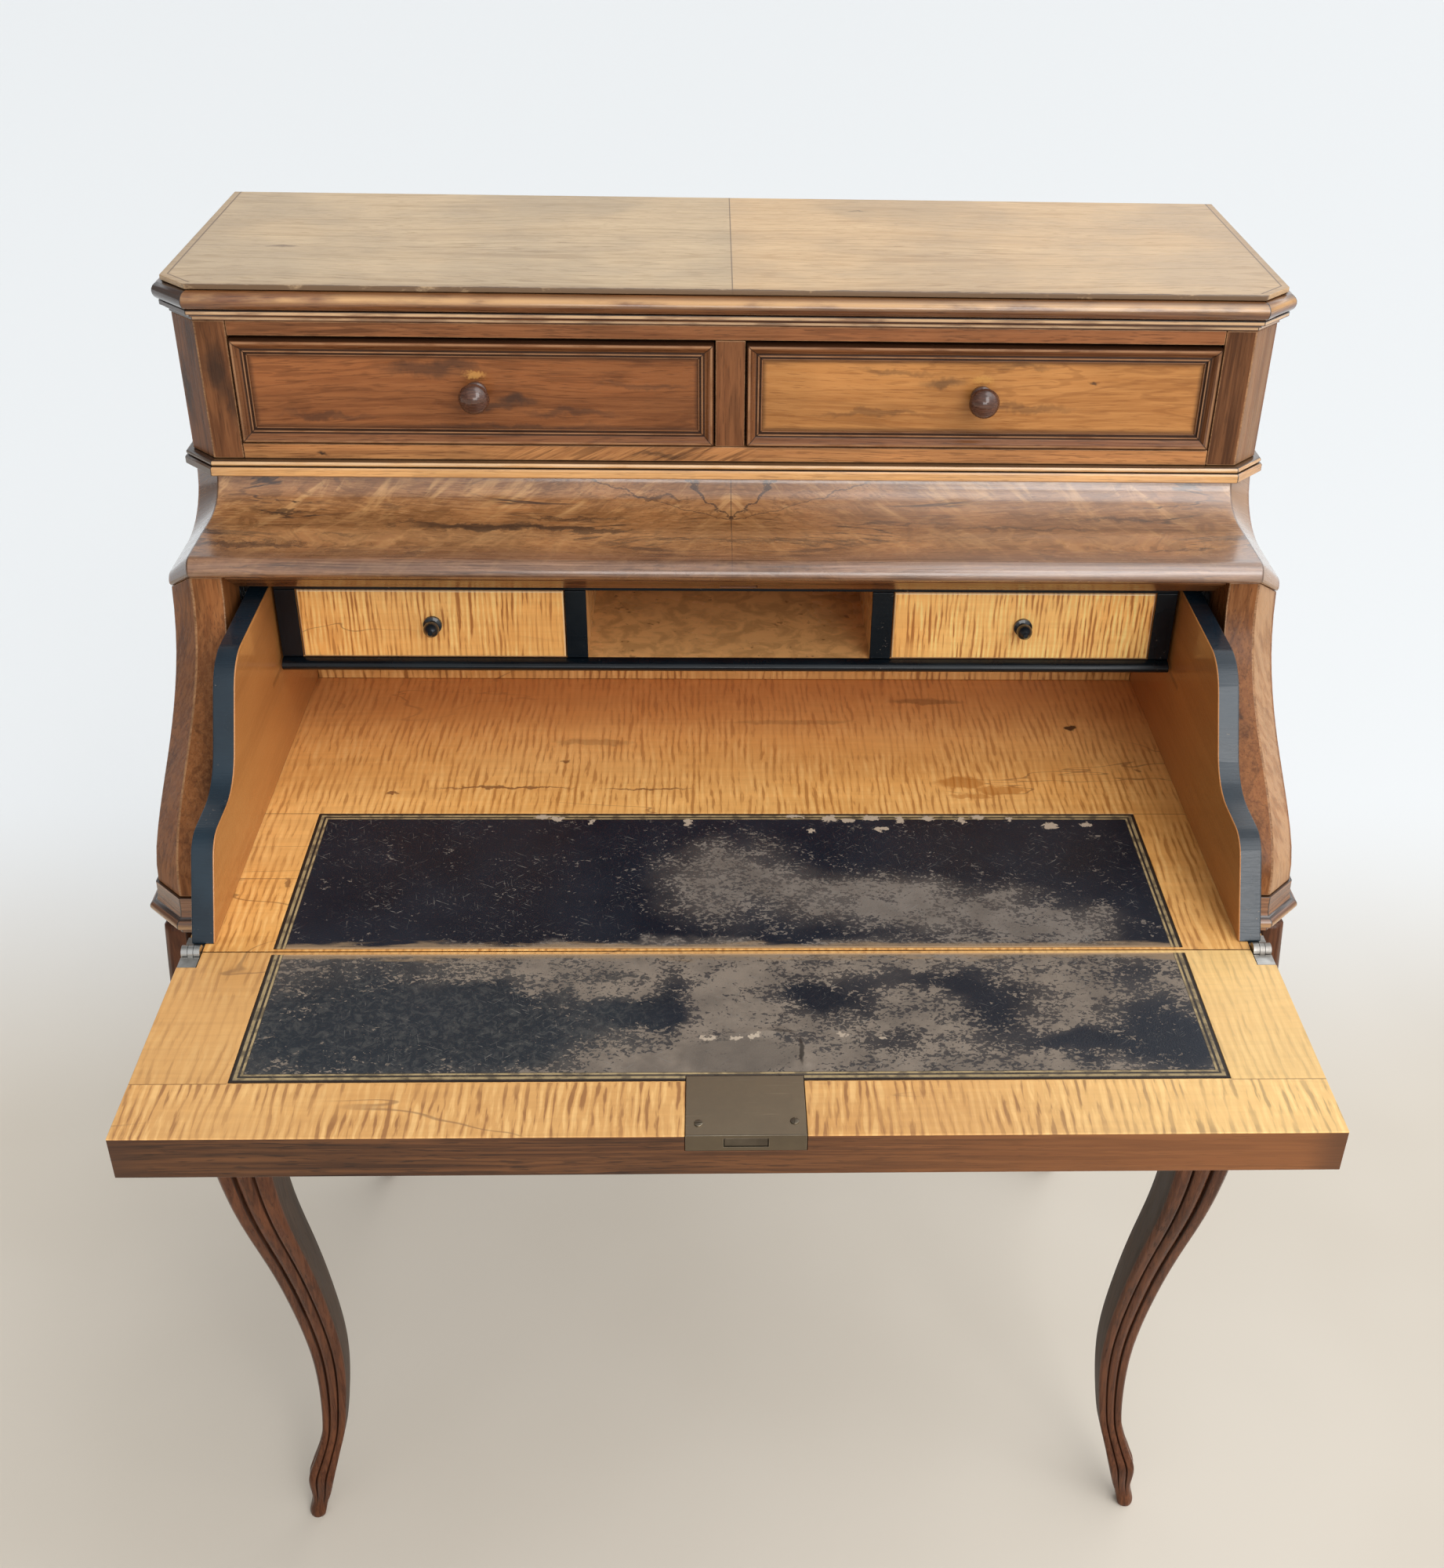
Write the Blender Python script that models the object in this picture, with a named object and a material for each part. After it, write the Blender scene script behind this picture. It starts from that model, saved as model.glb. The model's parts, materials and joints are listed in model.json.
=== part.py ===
"""Slant-front desk with a sliding writing tray, a serpentine fall, drawers and a gallery.

Metres, +Z up, the front towards -Y, modelled open for writing. Inside the script the back of
the case is y = 0; the empty "desk" then centres the open desk on the origin.
"""

import math

import bmesh
import bpy
from mathutils import Matrix, Vector

# Fits
GLUE_LINE = 0.0003  # between pieces that are glued or seated
RUN = 0.0005  # under and beside a piece that slides on its seat
DRAWER_PLAY = 0.0009  # round a drawer in its opening
DRAWER_DROP = 0.0022  # above a large drawer, which has settled
JOINT_PLAY = 0.0008  # along the hinge line
SWEEP_GAP = 0.0015  # closing fall to the base's front edge
CUT_PAST = 0.010  # how far a cutter runs out of the wood

# Case outline
CASE_WIDTH = 0.765
CANT = 0.0195  # each leg of the canted corner
STILE_FACE = 0.0208
UPPER_DEPTH = 0.2416  # back to the drawer fronts
LIP_DEPTH = 0.345
SLANT_TOP_DEPTH = 0.340
SLANT_FOOT_DEPTH = 0.4722
HOLLOW_HANDLE = 0.1005  # how far the slant runs straight down from the lip
BELLY_HANDLE = 0.071  # and straight up from the base
SIDE_THICKNESS = 0.018
BACK_THICKNESS = 0.012
BACK_REBATE = 0.003
STILE_DEPTH = 0.040

# Heights, from the floor up
LEG_HEIGHT = 0.660
BASE_HEIGHT = 0.026
NICHE_HEIGHT = 0.1695
OGEE_HEIGHT = 0.0331
WAIST_HEIGHT = 0.0116
BOTTOM_RAIL = 0.0115
DRAWER_OPENING = 0.0769
TOP_RAIL = 0.0105
CORNICE_HEIGHT = 0.0252

# Mouldings and boards of the case
TOP_OVERHANG = 0.0035
TOP_EDGE = 0.0035
TORUS_RADIUS = 0.0063
TORUS_SHADOW = 0.0005  # step between the top's edge and the torus
CORNICE_FILLET = 0.003
CORNICE_STEP = 0.001
CORNICE_SEAT = 0.020
WAIST_BEAD = 0.0062
WAIST_BAND = 0.0070  # height of the flat golden band under the small torus
WAIST_EASE = 0.0012
BASE_OVOLO = 0.0078
BASE_FILLET = 0.003
BASE_NECK = 0.0015
BASE_SEAT = 0.045
CAVETTO_RUN = 0.032
SHELF_DROP = 0.0195  # waist down to the shelf of the ogee board
NOSE_RADIUS = 0.009
END_NOSE_RADIUS = 0.0054
LIP_EASE = 0.003
LIP_CANT_DROP = 0.0155  # how far the lip's underside falls over the cant
RAIL_DEPTH = 0.020
CENTRE_STILE = 0.0206
DUST_BOARD = 0.012
CASE_BOTTOM = 0.018
APRON_THICKNESS = 0.018
APRON_HEIGHT = 0.085
APRON_RISE = 0.030
APRON_SETBACK = 0.009

# Legs
LEG_BLOCK = 0.052
LEG_INSET = 0.003
FOOT_SPLAY = 0.004  # foot centre beyond the block's centre, along x and along y
ANKLE_SWEEP = 0.026  # how far the ankle stands in from the foot, along x and along y
BACK_LEG_INSET = 0.010
LEG_BEAD = 0.0008  # bead beyond the strips beside it
LEG_BEAD_SHARE = 0.17  # half its width, as a share of the leg's
LEG_QUIRK_SHARE = 0.045  # width of the groove on each side of the bead
LEG_QUIRK_DEPTH = 0.085  # depth of that groove
LEG_EASE_SHARE = 0.07

# Large drawers
DRAWER_FRONT = 0.016
DRAWER_WALL = 0.009
DRAWER_BOTTOM = 0.006
DRAWER_BACK_GAP = 0.012
FRAME_WIDTH = 0.0115
FRAME_PROUD = 0.003
BOX_HEADROOM = 0.006  # drawer box below its front's upper edge
PANEL_SUNK = 0.001
KNOB_RADIUS = 0.0108
KNOB_LENGTH = 0.021

# Gallery
GALLERY_SETBACK = 0.0395  # behind the top of the slant
GALLERY_PLAY = 0.002  # to the tray's sides
GALLERY_POST = 0.0147
GALLERY_DIVIDER = 0.015
PIGEONHOLE_HALF = 0.1015
GALLERY_LIFT = 0.0641  # writing surface to the gallery's underside
GALLERY_BOTTOM = 0.009
GALLERY_RAIL = 0.0280
GALLERY_TOP = 0.010
GALLERY_BEAD = 0.007
SMALL_FRONT = 0.012
SMALL_SETBACK = 0.0004
SMALL_EASE = 0.0008
SMALL_WALL = 0.007
SMALL_BOTTOM = 0.004
SMALL_KNOB_RADIUS = 0.0066
SMALL_KNOB_LENGTH = 0.015

# Tray
HINGE_OVERHANG = 0.0771  # hinge line in front of the base, tray out
TRAY_FLOOR = 0.014
TRAY_PLAY = 0.0034  # to the stiles
TRAY_LEDGE = 0.0026  # tray's floor beyond its sides
TRAY_SIDE = 0.0145
TRAY_BACK = 0.012
TRAY_WELL = 0.3497  # hinge line back to the tray's back board
TOE_SETBACK = 0.0075
TOE_HEIGHT = 0.0575
TOE_RADIUS = 0.022
TOE_LEAN = 5.0  # degrees steeper than the closed fall
HOLLOW_START = 0.0765  # hinge line to the foot of the hollow
HOLLOW_RADIUS = 0.040
SHOULDER_RADIUS = 0.035
SHOULDER_HEIGHT = 0.1285
SHOULDER_SLOPE = 58.0
LEATHER_BORDER = 0.0553  # end of the fall to the leather
LEATHER_THICKNESS = 0.0012
TRAY_LEATHER = 0.1557  # hinge line to the back edge of the leather
FALL_LEATHER = 0.1195  # hinge line to the front edge of the leather
LEATHER_MARGIN = 0.003  # leather to the hinge line

# Fall, hinges and lock
FALL_PLAY = 0.0022  # to the stiles
FALL_EDGE = 0.0317
CLOSED_SLANT = 55.0  # degrees above the horizontal
FALL_LIP_GAP = 0.0042
FALL_EASE = 0.003
FALL_INSET = 0.0008
FALL_CORNER = 0.004  # straight part of the curved face at its two ends
FALL_FOOT_GAP = 0.006
STOP_GAP = 0.0015
STOP_DEPTH = 0.0302
STOP_EDGE = 0.001
STOP_LAND = 0.003
STRIKE_LEAD = 0.004
HINGE_LENGTH = 0.0114
HINGE_RADIUS = 0.0045
HINGE_PIN = 0.0012
HINGE_NECK = 0.0027
HINGE_LEAF = 0.0016
HINGE_REACH = 0.0150
HINGE_INSET = 0.0002  # hinge to the end of the fall
LOCK_OFFSET = 0.006
LOCK_WIDTH = 0.067
LOCK_REACH = 0.0485
LOCK_DEPTH = 0.0112
BOLT_WIDTH = 0.024
BOLT_THICKNESS = 0.0055
BOLT_LENGTH = 0.026
BOLT_THROW = 0.008

# Worked out from the sizes above
HALF = CASE_WIDTH / 2
ARRIS = HALF - CANT
OPENING_HALF = ARRIS - STILE_FACE
BASE_TOP = LEG_HEIGHT + BASE_HEIGHT
WRITING = BASE_TOP + RUN + TRAY_FLOOR
LIP = BASE_TOP + NICHE_HEIGHT
WAIST = LIP + OGEE_HEIGHT
FRIEZE = WAIST + WAIST_HEIGHT
DRAWER_FLOOR = FRIEZE + BOTTOM_RAIL
DRAWER_CEILING = DRAWER_FLOOR + DRAWER_OPENING
CORNICE = DRAWER_CEILING + TOP_RAIL
TOP = CORNICE + CORNICE_HEIGHT
INNER_HALF = HALF - SIDE_THICKNESS
FALL_HALF = OPENING_HALF - FALL_PLAY
LEATHER_HALF = FALL_HALF - LEATHER_BORDER
TRAY_HALF = OPENING_HALF - TRAY_PLAY
TRAY_INNER = TRAY_HALF - TRAY_LEDGE - TRAY_SIDE
GALLERY_HALF = TRAY_INNER - GALLERY_PLAY
GALLERY_DEPTH = SLANT_TOP_DEPTH - GALLERY_SETBACK
BACK_FACE = -(BACK_REBATE + BACK_THICKNESS)
UPPER_BACK = -(UPPER_DEPTH - STILE_DEPTH)
SLANT = math.radians(CLOSED_SLANT)
ALONG = Vector((math.cos(SLANT), math.sin(SLANT)))  # up the closed fall, in y and z
OUTWARD = Vector((-math.sin(SLANT), math.cos(SLANT)))
FALL_LENGTH = (LIP - FALL_LIP_GAP - WRITING - (FALL_EDGE - FALL_EASE) * OUTWARD.y) / ALONG.y
HINGE_CLOSED = -SLANT_TOP_DEPTH - FALL_LENGTH * ALONG.x - FALL_EDGE * OUTWARD.x
HINGE = -SLANT_FOOT_DEPTH - HINGE_OVERHANG
OPEN_DEPTH = FALL_LENGTH - HINGE
TRAY_REAR = HINGE + TRAY_WELL + TRAY_BACK
GALLERY_FLOOR = WRITING + GALLERY_LIFT + GALLERY_BOTTOM
GALLERY_CEILING = LIP - GALLERY_RAIL - GLUE_LINE
HINGE_OUTER = FALL_HALF - HINGE_INSET
HINGE_INNER = HINGE_OUTER - HINGE_LENGTH
KNUCKLE = HINGE_LENGTH / 3

FINISHES = {  # base colour, roughness, metallic
    "walnut": ((0.23, 0.105, 0.045), 0.42, 0.0),
    "pale walnut": ((0.42, 0.27, 0.15), 0.45, 0.0),
    "golden walnut": ((0.40, 0.19, 0.06), 0.40, 0.0),
    "maple": ((0.62, 0.32, 0.09), 0.40, 0.0),
    "ebonised wood": ((0.012, 0.016, 0.020), 0.35, 0.0),
    "leather": ((0.022, 0.021, 0.024), 0.55, 0.0),
    "steel": ((0.50, 0.50, 0.48), 0.35, 1.0),
    "bronze": ((0.16, 0.12, 0.08), 0.40, 1.0),
}


def finish_material(name, finish):
    colour, roughness, metallic = FINISHES[finish]
    material = bpy.data.materials.new(f"{name} {finish}")
    material.use_nodes = True
    shader = material.node_tree.nodes["Principled BSDF"]
    shader.inputs["Base Color"].default_value = (*colour, 1.0)
    shader.inputs["Roughness"].default_value = roughness
    shader.inputs["Metallic"].default_value = metallic
    return material


def group(name, parent, location):
    """An empty on a joint's axis. location is in the case's own coordinates."""
    empty = bpy.data.objects.new(name, None)
    bpy.context.scene.collection.objects.link(empty)
    empty.parent = parent
    empty["origin"] = location
    above = Vector(parent["origin"]) if parent else Vector((0, 0, 0))
    empty.location = Vector(location) - above
    return empty


def piece(name, bm, finish, parent, smooth=None):
    """One sub-part. bm is in the case's coordinates; smooth is the angle that stays sharp."""
    bmesh.ops.recalc_face_normals(bm, faces=bm.faces)
    mesh = bpy.data.meshes.new(name)
    bm.to_mesh(mesh)
    bm.free()
    mesh.transform(Matrix.Translation(-Vector(parent["origin"])))
    mesh.materials.append(finish_material(name, finish))
    if smooth:
        mesh.shade_smooth()
        mesh.set_sharp_from_angle(angle=math.radians(smooth))
    obj = bpy.data.objects.new(name, mesh)
    bpy.context.scene.collection.objects.link(obj)
    obj.parent = parent
    return obj


def combine(obj, bm, operation):
    """A Boolean with a hidden tool object made from bm."""
    bmesh.ops.recalc_face_normals(bm, faces=bm.faces)
    mesh = bpy.data.meshes.new(f"{obj.name} tool")
    bm.to_mesh(mesh)
    bm.free()
    mesh.transform(Matrix.Translation(-Vector(obj.parent["origin"])))
    tool = bpy.data.objects.new(mesh.name, mesh)
    bpy.context.scene.collection.objects.link(tool)
    tool.parent = obj.parent
    tool.hide_render = True
    tool.display_type = "WIRE"
    modifier = obj.modifiers.new(operation.title(), "BOOLEAN")
    modifier.operation = operation
    modifier.object = tool


def loft(sections, bm=None):
    """A closed solid through outlines that have equally many points."""
    bm = bm or bmesh.new()
    rings = [[bm.verts.new(p) for p in section] for section in sections]
    for low, high in zip(rings, rings[1:]):
        for i in range(len(low)):
            j = (i + 1) % len(low)
            bm.faces.new((low[i], low[j], high[j], high[i]))
    bm.faces.new(rings[0][::-1])
    bm.faces.new(rings[-1])
    return bm


def along_x(outline, x0, x1, bm=None):
    return loft([[(x, y, z) for y, z in outline] for x in (x0, x1)], bm)


def along_y(outline, y0, y1, bm=None):
    return loft([[(x, y, z) for x, z in outline] for y in (y0, y1)], bm)


def along_z(outline, z0, z1, bm=None):
    return loft([[(x, y, z) for x, y in outline] for z in (z0, z1)], bm)


def block(x0, x1, y0, y1, z0, z1, bm=None):
    return along_z([(x0, y0), (x1, y0), (x1, y1), (x0, y1)], z0, z1, bm)


def open_box(x0, x1, y0, y1, z0, z1, wall, bottom):
    """A box without a lid, as one closed solid."""
    outer = [(x0, y0), (x1, y0), (x1, y1), (x0, y1)]
    left, right, near, far = x0 + wall, x1 - wall, y0 + wall, y1 - wall
    inner = [(left, near), (right, near), (right, far), (left, far)]
    levels = [(outer, z0), (outer, z1), (inner, z1), (inner, z0 + bottom)]
    return loft([[(x, y, z) for x, y in outline] for outline, z in levels])


def turned(profile, x, y, z, segments=24):
    """A piece turned about a line along y: profile gives radius and distance towards the front."""
    bm = bmesh.new()
    rings = []
    for radius, reach in profile:
        if radius == 0:
            rings.append([bm.verts.new((x, y - reach, z))] * segments)
        else:
            circle = arc(x, z, radius, 0, 360, segments)[:-1]
            rings.append([bm.verts.new((u, y - reach, v)) for u, v in circle])
    for near, far in zip(rings, rings[1:]):
        for i in range(segments):
            j = (i + 1) % segments
            corners = list(dict.fromkeys((near[i], near[j], far[j], far[i])))
            bm.faces.new(corners)
    return bm


def rod(x0, x1, y, z, radius, segments=20, bm=None):
    return along_x(arc(y, z, radius, 0, 360, segments)[:-1], x0, x1, bm)


def arc(u, v, radius, start, end, steps):
    """Points on an arc in degrees, both ends included."""
    angles = [math.radians(start + (end - start) * i / steps) for i in range(steps + 1)]
    return [(u + radius * math.cos(a), v + radius * math.sin(a)) for a in angles]


def hollow_quarter(run, drop, steps):
    """A quarter hollow from (run, drop) down to (0, 0), flat at its top and upright at its foot."""
    turns = [math.pi / 2 * i / steps for i in range(steps + 1)]
    return [(run * (1 - math.sin(a)), drop * math.cos(a)) for a in turns]


def case_path(depth):
    """The case's outline seen from above, from the left back corner round the front."""
    front = -depth
    left = [(-HALF, 0.0), (-HALF, front + CANT), (-ARRIS, front)]
    return left + [(-x, y) for x, y in reversed(left)]


def offset_path(path, out):
    """The path moved outwards, with mitred corners."""
    points = [Vector(p) for p in path]
    runs = [(b - a).normalized() for a, b in zip(points, points[1:])]
    normals = [Vector((d.y, -d.x)) for d in runs]
    moved = [points[0] + normals[0] * out]
    for p, a, b in zip(points[1:-1], normals, normals[1:]):
        moved.append(p + (a + b) * (out / (1 + a.dot(b))))
    moved.append(points[-1] + normals[-1] * out)
    return moved


def moulding(profile, path):
    """A profile of (out, z) points run along a path."""
    lines = [[(p.x, p.y, z) for p in offset_path(path, out)] for out, z in profile]
    return loft(zip(*lines))


def bezier(t, p0, p1, p2, p3):
    s = 1 - t
    return p0 * s**3 + p1 * (3 * s * s * t) + p2 * (3 * s * t * t) + p3 * t**3


def slant(t):
    """The serpentine front below the lip, from the lip (0) to the base (1), as y and z."""
    top = Vector((-SLANT_TOP_DEPTH, LIP - GLUE_LINE))
    foot = Vector((-SLANT_FOOT_DEPTH, BASE_TOP + GLUE_LINE))
    down = Vector((0, -HOLLOW_HANDLE))
    up = Vector((0, BELLY_HANDLE))
    return bezier(t, top, top + down, foot + up, foot)


SLANT_STEPS = 16
CLOSING_STEPS = 60


def slant_line(inset):
    """Points on the slant moved into the case by inset."""
    line = []
    for i in range(SLANT_STEPS + 1):
        t = i / SLANT_STEPS
        run = slant(min(t + 0.001, 1)) - slant(max(t - 0.001, 0))
        normal = Vector((-run.y, run.x)).normalized()
        line.append(slant(t) + normal * inset)
    return line


def height_on(line, z):
    """y on a line of falling points at a height."""
    for a, b in zip(line, line[1:]):
        if b.y <= z <= a.y:
            return a.x + (b.x - a.x) * (a.y - z) / (a.y - b.y)
    return line[0].x if z > line[0].y else line[-1].x


def build_top(root):
    seat = TOP - TOP_EDGE
    inner = [p.to_tuple() for p in offset_path(case_path(UPPER_DEPTH), -CORNICE_SEAT - GLUE_LINE)]
    outer = [p.to_tuple() for p in offset_path(case_path(UPPER_DEPTH), TOP_OVERHANG)]
    levels = [(inner, CORNICE + GLUE_LINE), (inner, seat), (outer, seat), (outer, TOP)]
    piece("top_board", loft([[(x, y, z) for x, y in line] for line, z in levels]), "pale walnut", root)
    crown = seat - GLUE_LINE
    torus = arc(TOP_OVERHANG, crown - TORUS_SHADOW - TORUS_RADIUS, TORUS_RADIUS, 90, -90, 10)
    step = torus[-1][1] - CORNICE_FILLET
    cove = CORNICE + CORNICE_FILLET
    hollow = step - cove
    edge = TORUS_RADIUS - CORNICE_STEP
    profile = [(-CORNICE_SEAT, CORNICE + GLUE_LINE), (-CORNICE_SEAT, crown)]
    profile += [(TOP_OVERHANG - CORNICE_STEP, crown)]
    profile += torus + [(TORUS_RADIUS, torus[-1][1]), (TORUS_RADIUS, step)]
    profile += [(edge - hollow + x, cove + z) for x, z in hollow_quarter(hollow, hollow, 4)]
    profile += [(CORNICE_STEP, cove), (CORNICE_STEP, CORNICE + GLUE_LINE)]
    piece("cornice", moulding(profile, case_path(UPPER_DEPTH)), "walnut", root, 30)


def build_upper_case(root):
    front = -UPPER_DEPTH
    low, high = FRIEZE + GLUE_LINE, CORNICE - GLUE_LINE
    for side, name in ((-1, "left"), (1, "right")):
        outline = [(OPENING_HALF, front), (ARRIS, front), (HALF, front + CANT)]
        outline += [(HALF, UPPER_BACK), (OPENING_HALF, UPPER_BACK)]
        piece(f"upper_stile_{name}", along_z([(side * x, y) for x, y in outline], low, high), "walnut", root)
    span = OPENING_HALF - GLUE_LINE
    behind = front + RAIL_DEPTH
    piece("top_rail", block(-span, span, front, behind, DRAWER_CEILING, high), "walnut", root)
    piece("bottom_rail", block(-span, span, front, behind, low, DRAWER_FLOOR), "golden walnut", root)
    half = CENTRE_STILE / 2
    stile = block(-half, half, front, behind, DRAWER_FLOOR + GLUE_LINE, DRAWER_CEILING - GLUE_LINE)
    piece("centre_stile", stile, "walnut", root)
    build_drawer_deck(root, behind)


def build_drawer_deck(root, rail_back):
    """The board that the two drawers run on, with a guide between them and one at each side."""
    half = INNER_HALF - GLUE_LINE
    guide = OPENING_HALF
    rib = CENTRE_STILE / 2
    rise = DRAWER_FLOOR + DRAWER_OPENING / 3
    outline = [(-half, FRIEZE + GLUE_LINE), (half, FRIEZE + GLUE_LINE), (half, rise), (guide, rise)]
    outline += [(guide, DRAWER_FLOOR), (rib, DRAWER_FLOOR), (rib, rise), (-rib, rise), (-rib, DRAWER_FLOOR)]
    outline += [(-guide, DRAWER_FLOOR), (-guide, rise), (-half, rise)]
    front = max(rail_back, UPPER_BACK) + GLUE_LINE
    deck = along_y(outline, front, BACK_FACE - GLUE_LINE)
    obj = piece("drawer_deck", deck, "pale walnut", root)
    inside = guide - GLUE_LINE
    tongue = block(-inside, inside, rail_back + GLUE_LINE, front + RUN, FRIEZE + GLUE_LINE, DRAWER_FLOOR)
    combine(obj, tongue, "UNION")


def build_waist(root):
    """The bead under the drawers: a plank between ogee board and frieze, returned along the sides."""
    low, high = WAIST + GLUE_LINE, FRIEZE
    ridge = low + WAIST_BAND
    small = (high - ridge) / 2
    neck = WAIST_BEAD - small - WAIST_EASE
    eased = WAIST_BEAD - WAIST_EASE
    profile = [(GLUE_LINE, high), (GLUE_LINE, low), (eased, low), (WAIST_BEAD, low + WAIST_EASE)]
    profile += [(WAIST_BEAD, ridge - WAIST_EASE), (eased, ridge), (neck, ridge)]
    profile += arc(neck, ridge + small, small, -60, 90, 5)
    obj = piece("waist_bead", moulding(profile, case_path(UPPER_DEPTH)), "golden walnut", root, 30)
    plank = [p.to_tuple() for p in offset_path(case_path(UPPER_DEPTH), WAIST_EASE)]
    rear = UPPER_BACK
    plank = [(plank[1][0], rear)] + plank[1:-1] + [(plank[-2][0], rear)]
    combine(obj, along_z(plank, low, high), "UNION")


def rounded_nose(front, top, radius, bottom):
    """The lip's front edge from its top round to its underside, as y and z."""
    line = arc(front + radius, top - radius, radius, 90, 180, 5)
    return [Vector(p) for p in line + [(front, bottom + LIP_EASE), (front + LIP_EASE, bottom)]]


def build_ogee_board(root):
    """The hollow board over the fall, whose rounded lip and canted ends are one piece."""
    shelf = WAIST - SHELF_DROP
    front = -UPPER_DEPTH
    nose = -LIP_DEPTH
    quarter = hollow_quarter(CAVETTO_RUN, SHELF_DROP, 10)
    hollow = [Vector((front - x, WAIST - z)) for x, z in reversed(quarter)]
    contour = hollow + rounded_nose(nose, shelf, NOSE_RADIUS, LIP)
    rear = [Vector((UPPER_BACK, LIP)), Vector((UPPER_BACK, WAIST))]
    inset = []
    for i, p in enumerate(hollow):
        run = hollow[min(i + 1, len(hollow) - 1)] - hollow[max(i - 1, 0)]
        inset.append(p + Vector((-run.y, run.x)).normalized() * CANT)
    low = LIP - LIP_CANT_DROP
    inset += rounded_nose(nose + CANT, shelf - CANT, END_NOSE_RADIUS, low)
    end = inset + [Vector((UPPER_BACK, low)), Vector((UPPER_BACK, WAIST))]
    middle = contour + rear
    stations = [(-HALF, end), (-ARRIS, middle), (ARRIS, middle), (HALF, end)]
    bm = loft([[(x, p.x, p.y) for p in line] for x, line in stations])
    piece("ogee_board", bm, "walnut", root, 30)


def stile_back():
    """The back edge of a lower stile, from the base up to the lip, as y and z."""
    rise = LIP - BASE_TOP - 2 * GLUE_LINE
    run = SLANT_FOOT_DEPTH - SLANT_TOP_DEPTH
    shares = ((0.94, 0.0), (0.58, 0.21), (0.18, 0.47), (0.03, 0.73), (0.0, 1.0))
    top = -SLANT_TOP_DEPTH + STILE_DEPTH
    low = BASE_TOP + GLUE_LINE
    return [Vector((top - run * across, low + rise * up)) for across, up in shares]


def build_lower_case(root):
    full = slant_line(0)
    deep = slant_line(CANT)
    drop = LIP_CANT_DROP + GLUE_LINE
    bottom = full[-1].y
    squeeze = (full[0].y - drop - bottom) / (full[0].y - bottom)
    canted = []
    for p in full:
        z = bottom + (p.y - bottom) * squeeze
        canted.append(Vector((height_on(deep, z), z)))
    back = stile_back()
    low_back = back[:-1] + [Vector((back[-1].x, back[-1].y - drop))]
    for side, name in ((-1, "left"), (1, "right")):
        stations = [(OPENING_HALF, full + back), (ARRIS, full + back), (HALF, canted + low_back)]
        bm = loft([[(side * x, p.x, p.y) for p in line] for x, line in stations])
        piece(f"lower_stile_{name}", bm, "walnut", root, 30)
        edge = [(p.x + GLUE_LINE, p.y) for p in back[:-1]]
        notch = LIP - LIP_CANT_DROP - GLUE_LINE
        edge += [(back[-1].x + GLUE_LINE, notch), (UPPER_BACK + GLUE_LINE, notch)]
        edge += [(UPPER_BACK + GLUE_LINE, CORNICE - GLUE_LINE)]
        edge += [(0, CORNICE - GLUE_LINE), (0, BASE_TOP + GLUE_LINE)]
        piece(f"side_panel_{name}", along_x(edge, side * INNER_HALF, side * HALF), "walnut", root)
    half = INNER_HALF - GLUE_LINE
    back_panel = block(-half, half, BACK_FACE, -BACK_REBATE, BASE_TOP + GLUE_LINE, CORNICE - GLUE_LINE)
    piece("back_panel", back_panel, "pale walnut", root)
    dust = block(-half, half, UPPER_BACK + GLUE_LINE, BACK_FACE - GLUE_LINE, LIP, LIP + DUST_BOARD)
    piece("dust_board", dust, "pale walnut", root)


def build_base(root):
    low, high = LEG_HEIGHT, BASE_TOP
    round_ = BASE_OVOLO / 2
    centre = low + BASE_FILLET + round_
    profile = [(-BASE_SEAT, high), (-BASE_SEAT, low), (round_, low), (round_, low + BASE_FILLET)]
    profile += arc(round_, centre, round_, -60, 90, 7)
    drop = high - BASE_FILLET - centre - round_
    hollow = hollow_quarter(round_ - BASE_NECK, drop, 4)
    profile += [(BASE_NECK + x, centre + round_ + drop - z) for x, z in hollow[1:]]
    profile += [(BASE_NECK, high)]
    piece("base_moulding", moulding(profile, case_path(SLANT_FOOT_DEPTH)), "walnut", root, 30)
    half = HALF - BASE_SEAT - GLUE_LINE
    front = -SLANT_FOOT_DEPTH + BASE_SEAT + GLUE_LINE
    bottom = block(-half, half, front, BACK_FACE, high - CASE_BOTTOM, high)
    piece("case_bottom", bottom, "pale walnut", root)
    build_aprons(root)
    for across, name in ((-1, "left"), (1, "right")):
        piece(f"leg_front_{name}", leg(across, -1), "walnut", root, 35)
        piece(f"leg_back_{name}", leg(across, 1), "walnut", root, 35)


def leg_block_centre(towards):
    """Centre of a leg's top block: x for the right side, y for the front (-1) or the back (1)."""
    reach = LEG_INSET + LEG_BLOCK / 2
    y = -SLANT_FOOT_DEPTH + reach if towards < 0 else -BACK_LEG_INSET - LEG_BLOCK / 2
    return Vector((HALF - reach, y))


def apron_outline(low, high):
    """A board between low and high whose lower edge rises in one soft arch."""
    steps = 16
    top = LEG_HEIGHT - GLUE_LINE
    points = [(low, top), (high, top)]
    for i in range(steps + 1):
        s = i / steps
        rise = APRON_RISE * (1 - math.cos(2 * math.pi * s)) / 2
        points.append((high + (low - high) * s, top - APRON_HEIGHT + rise))
    return points


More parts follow.
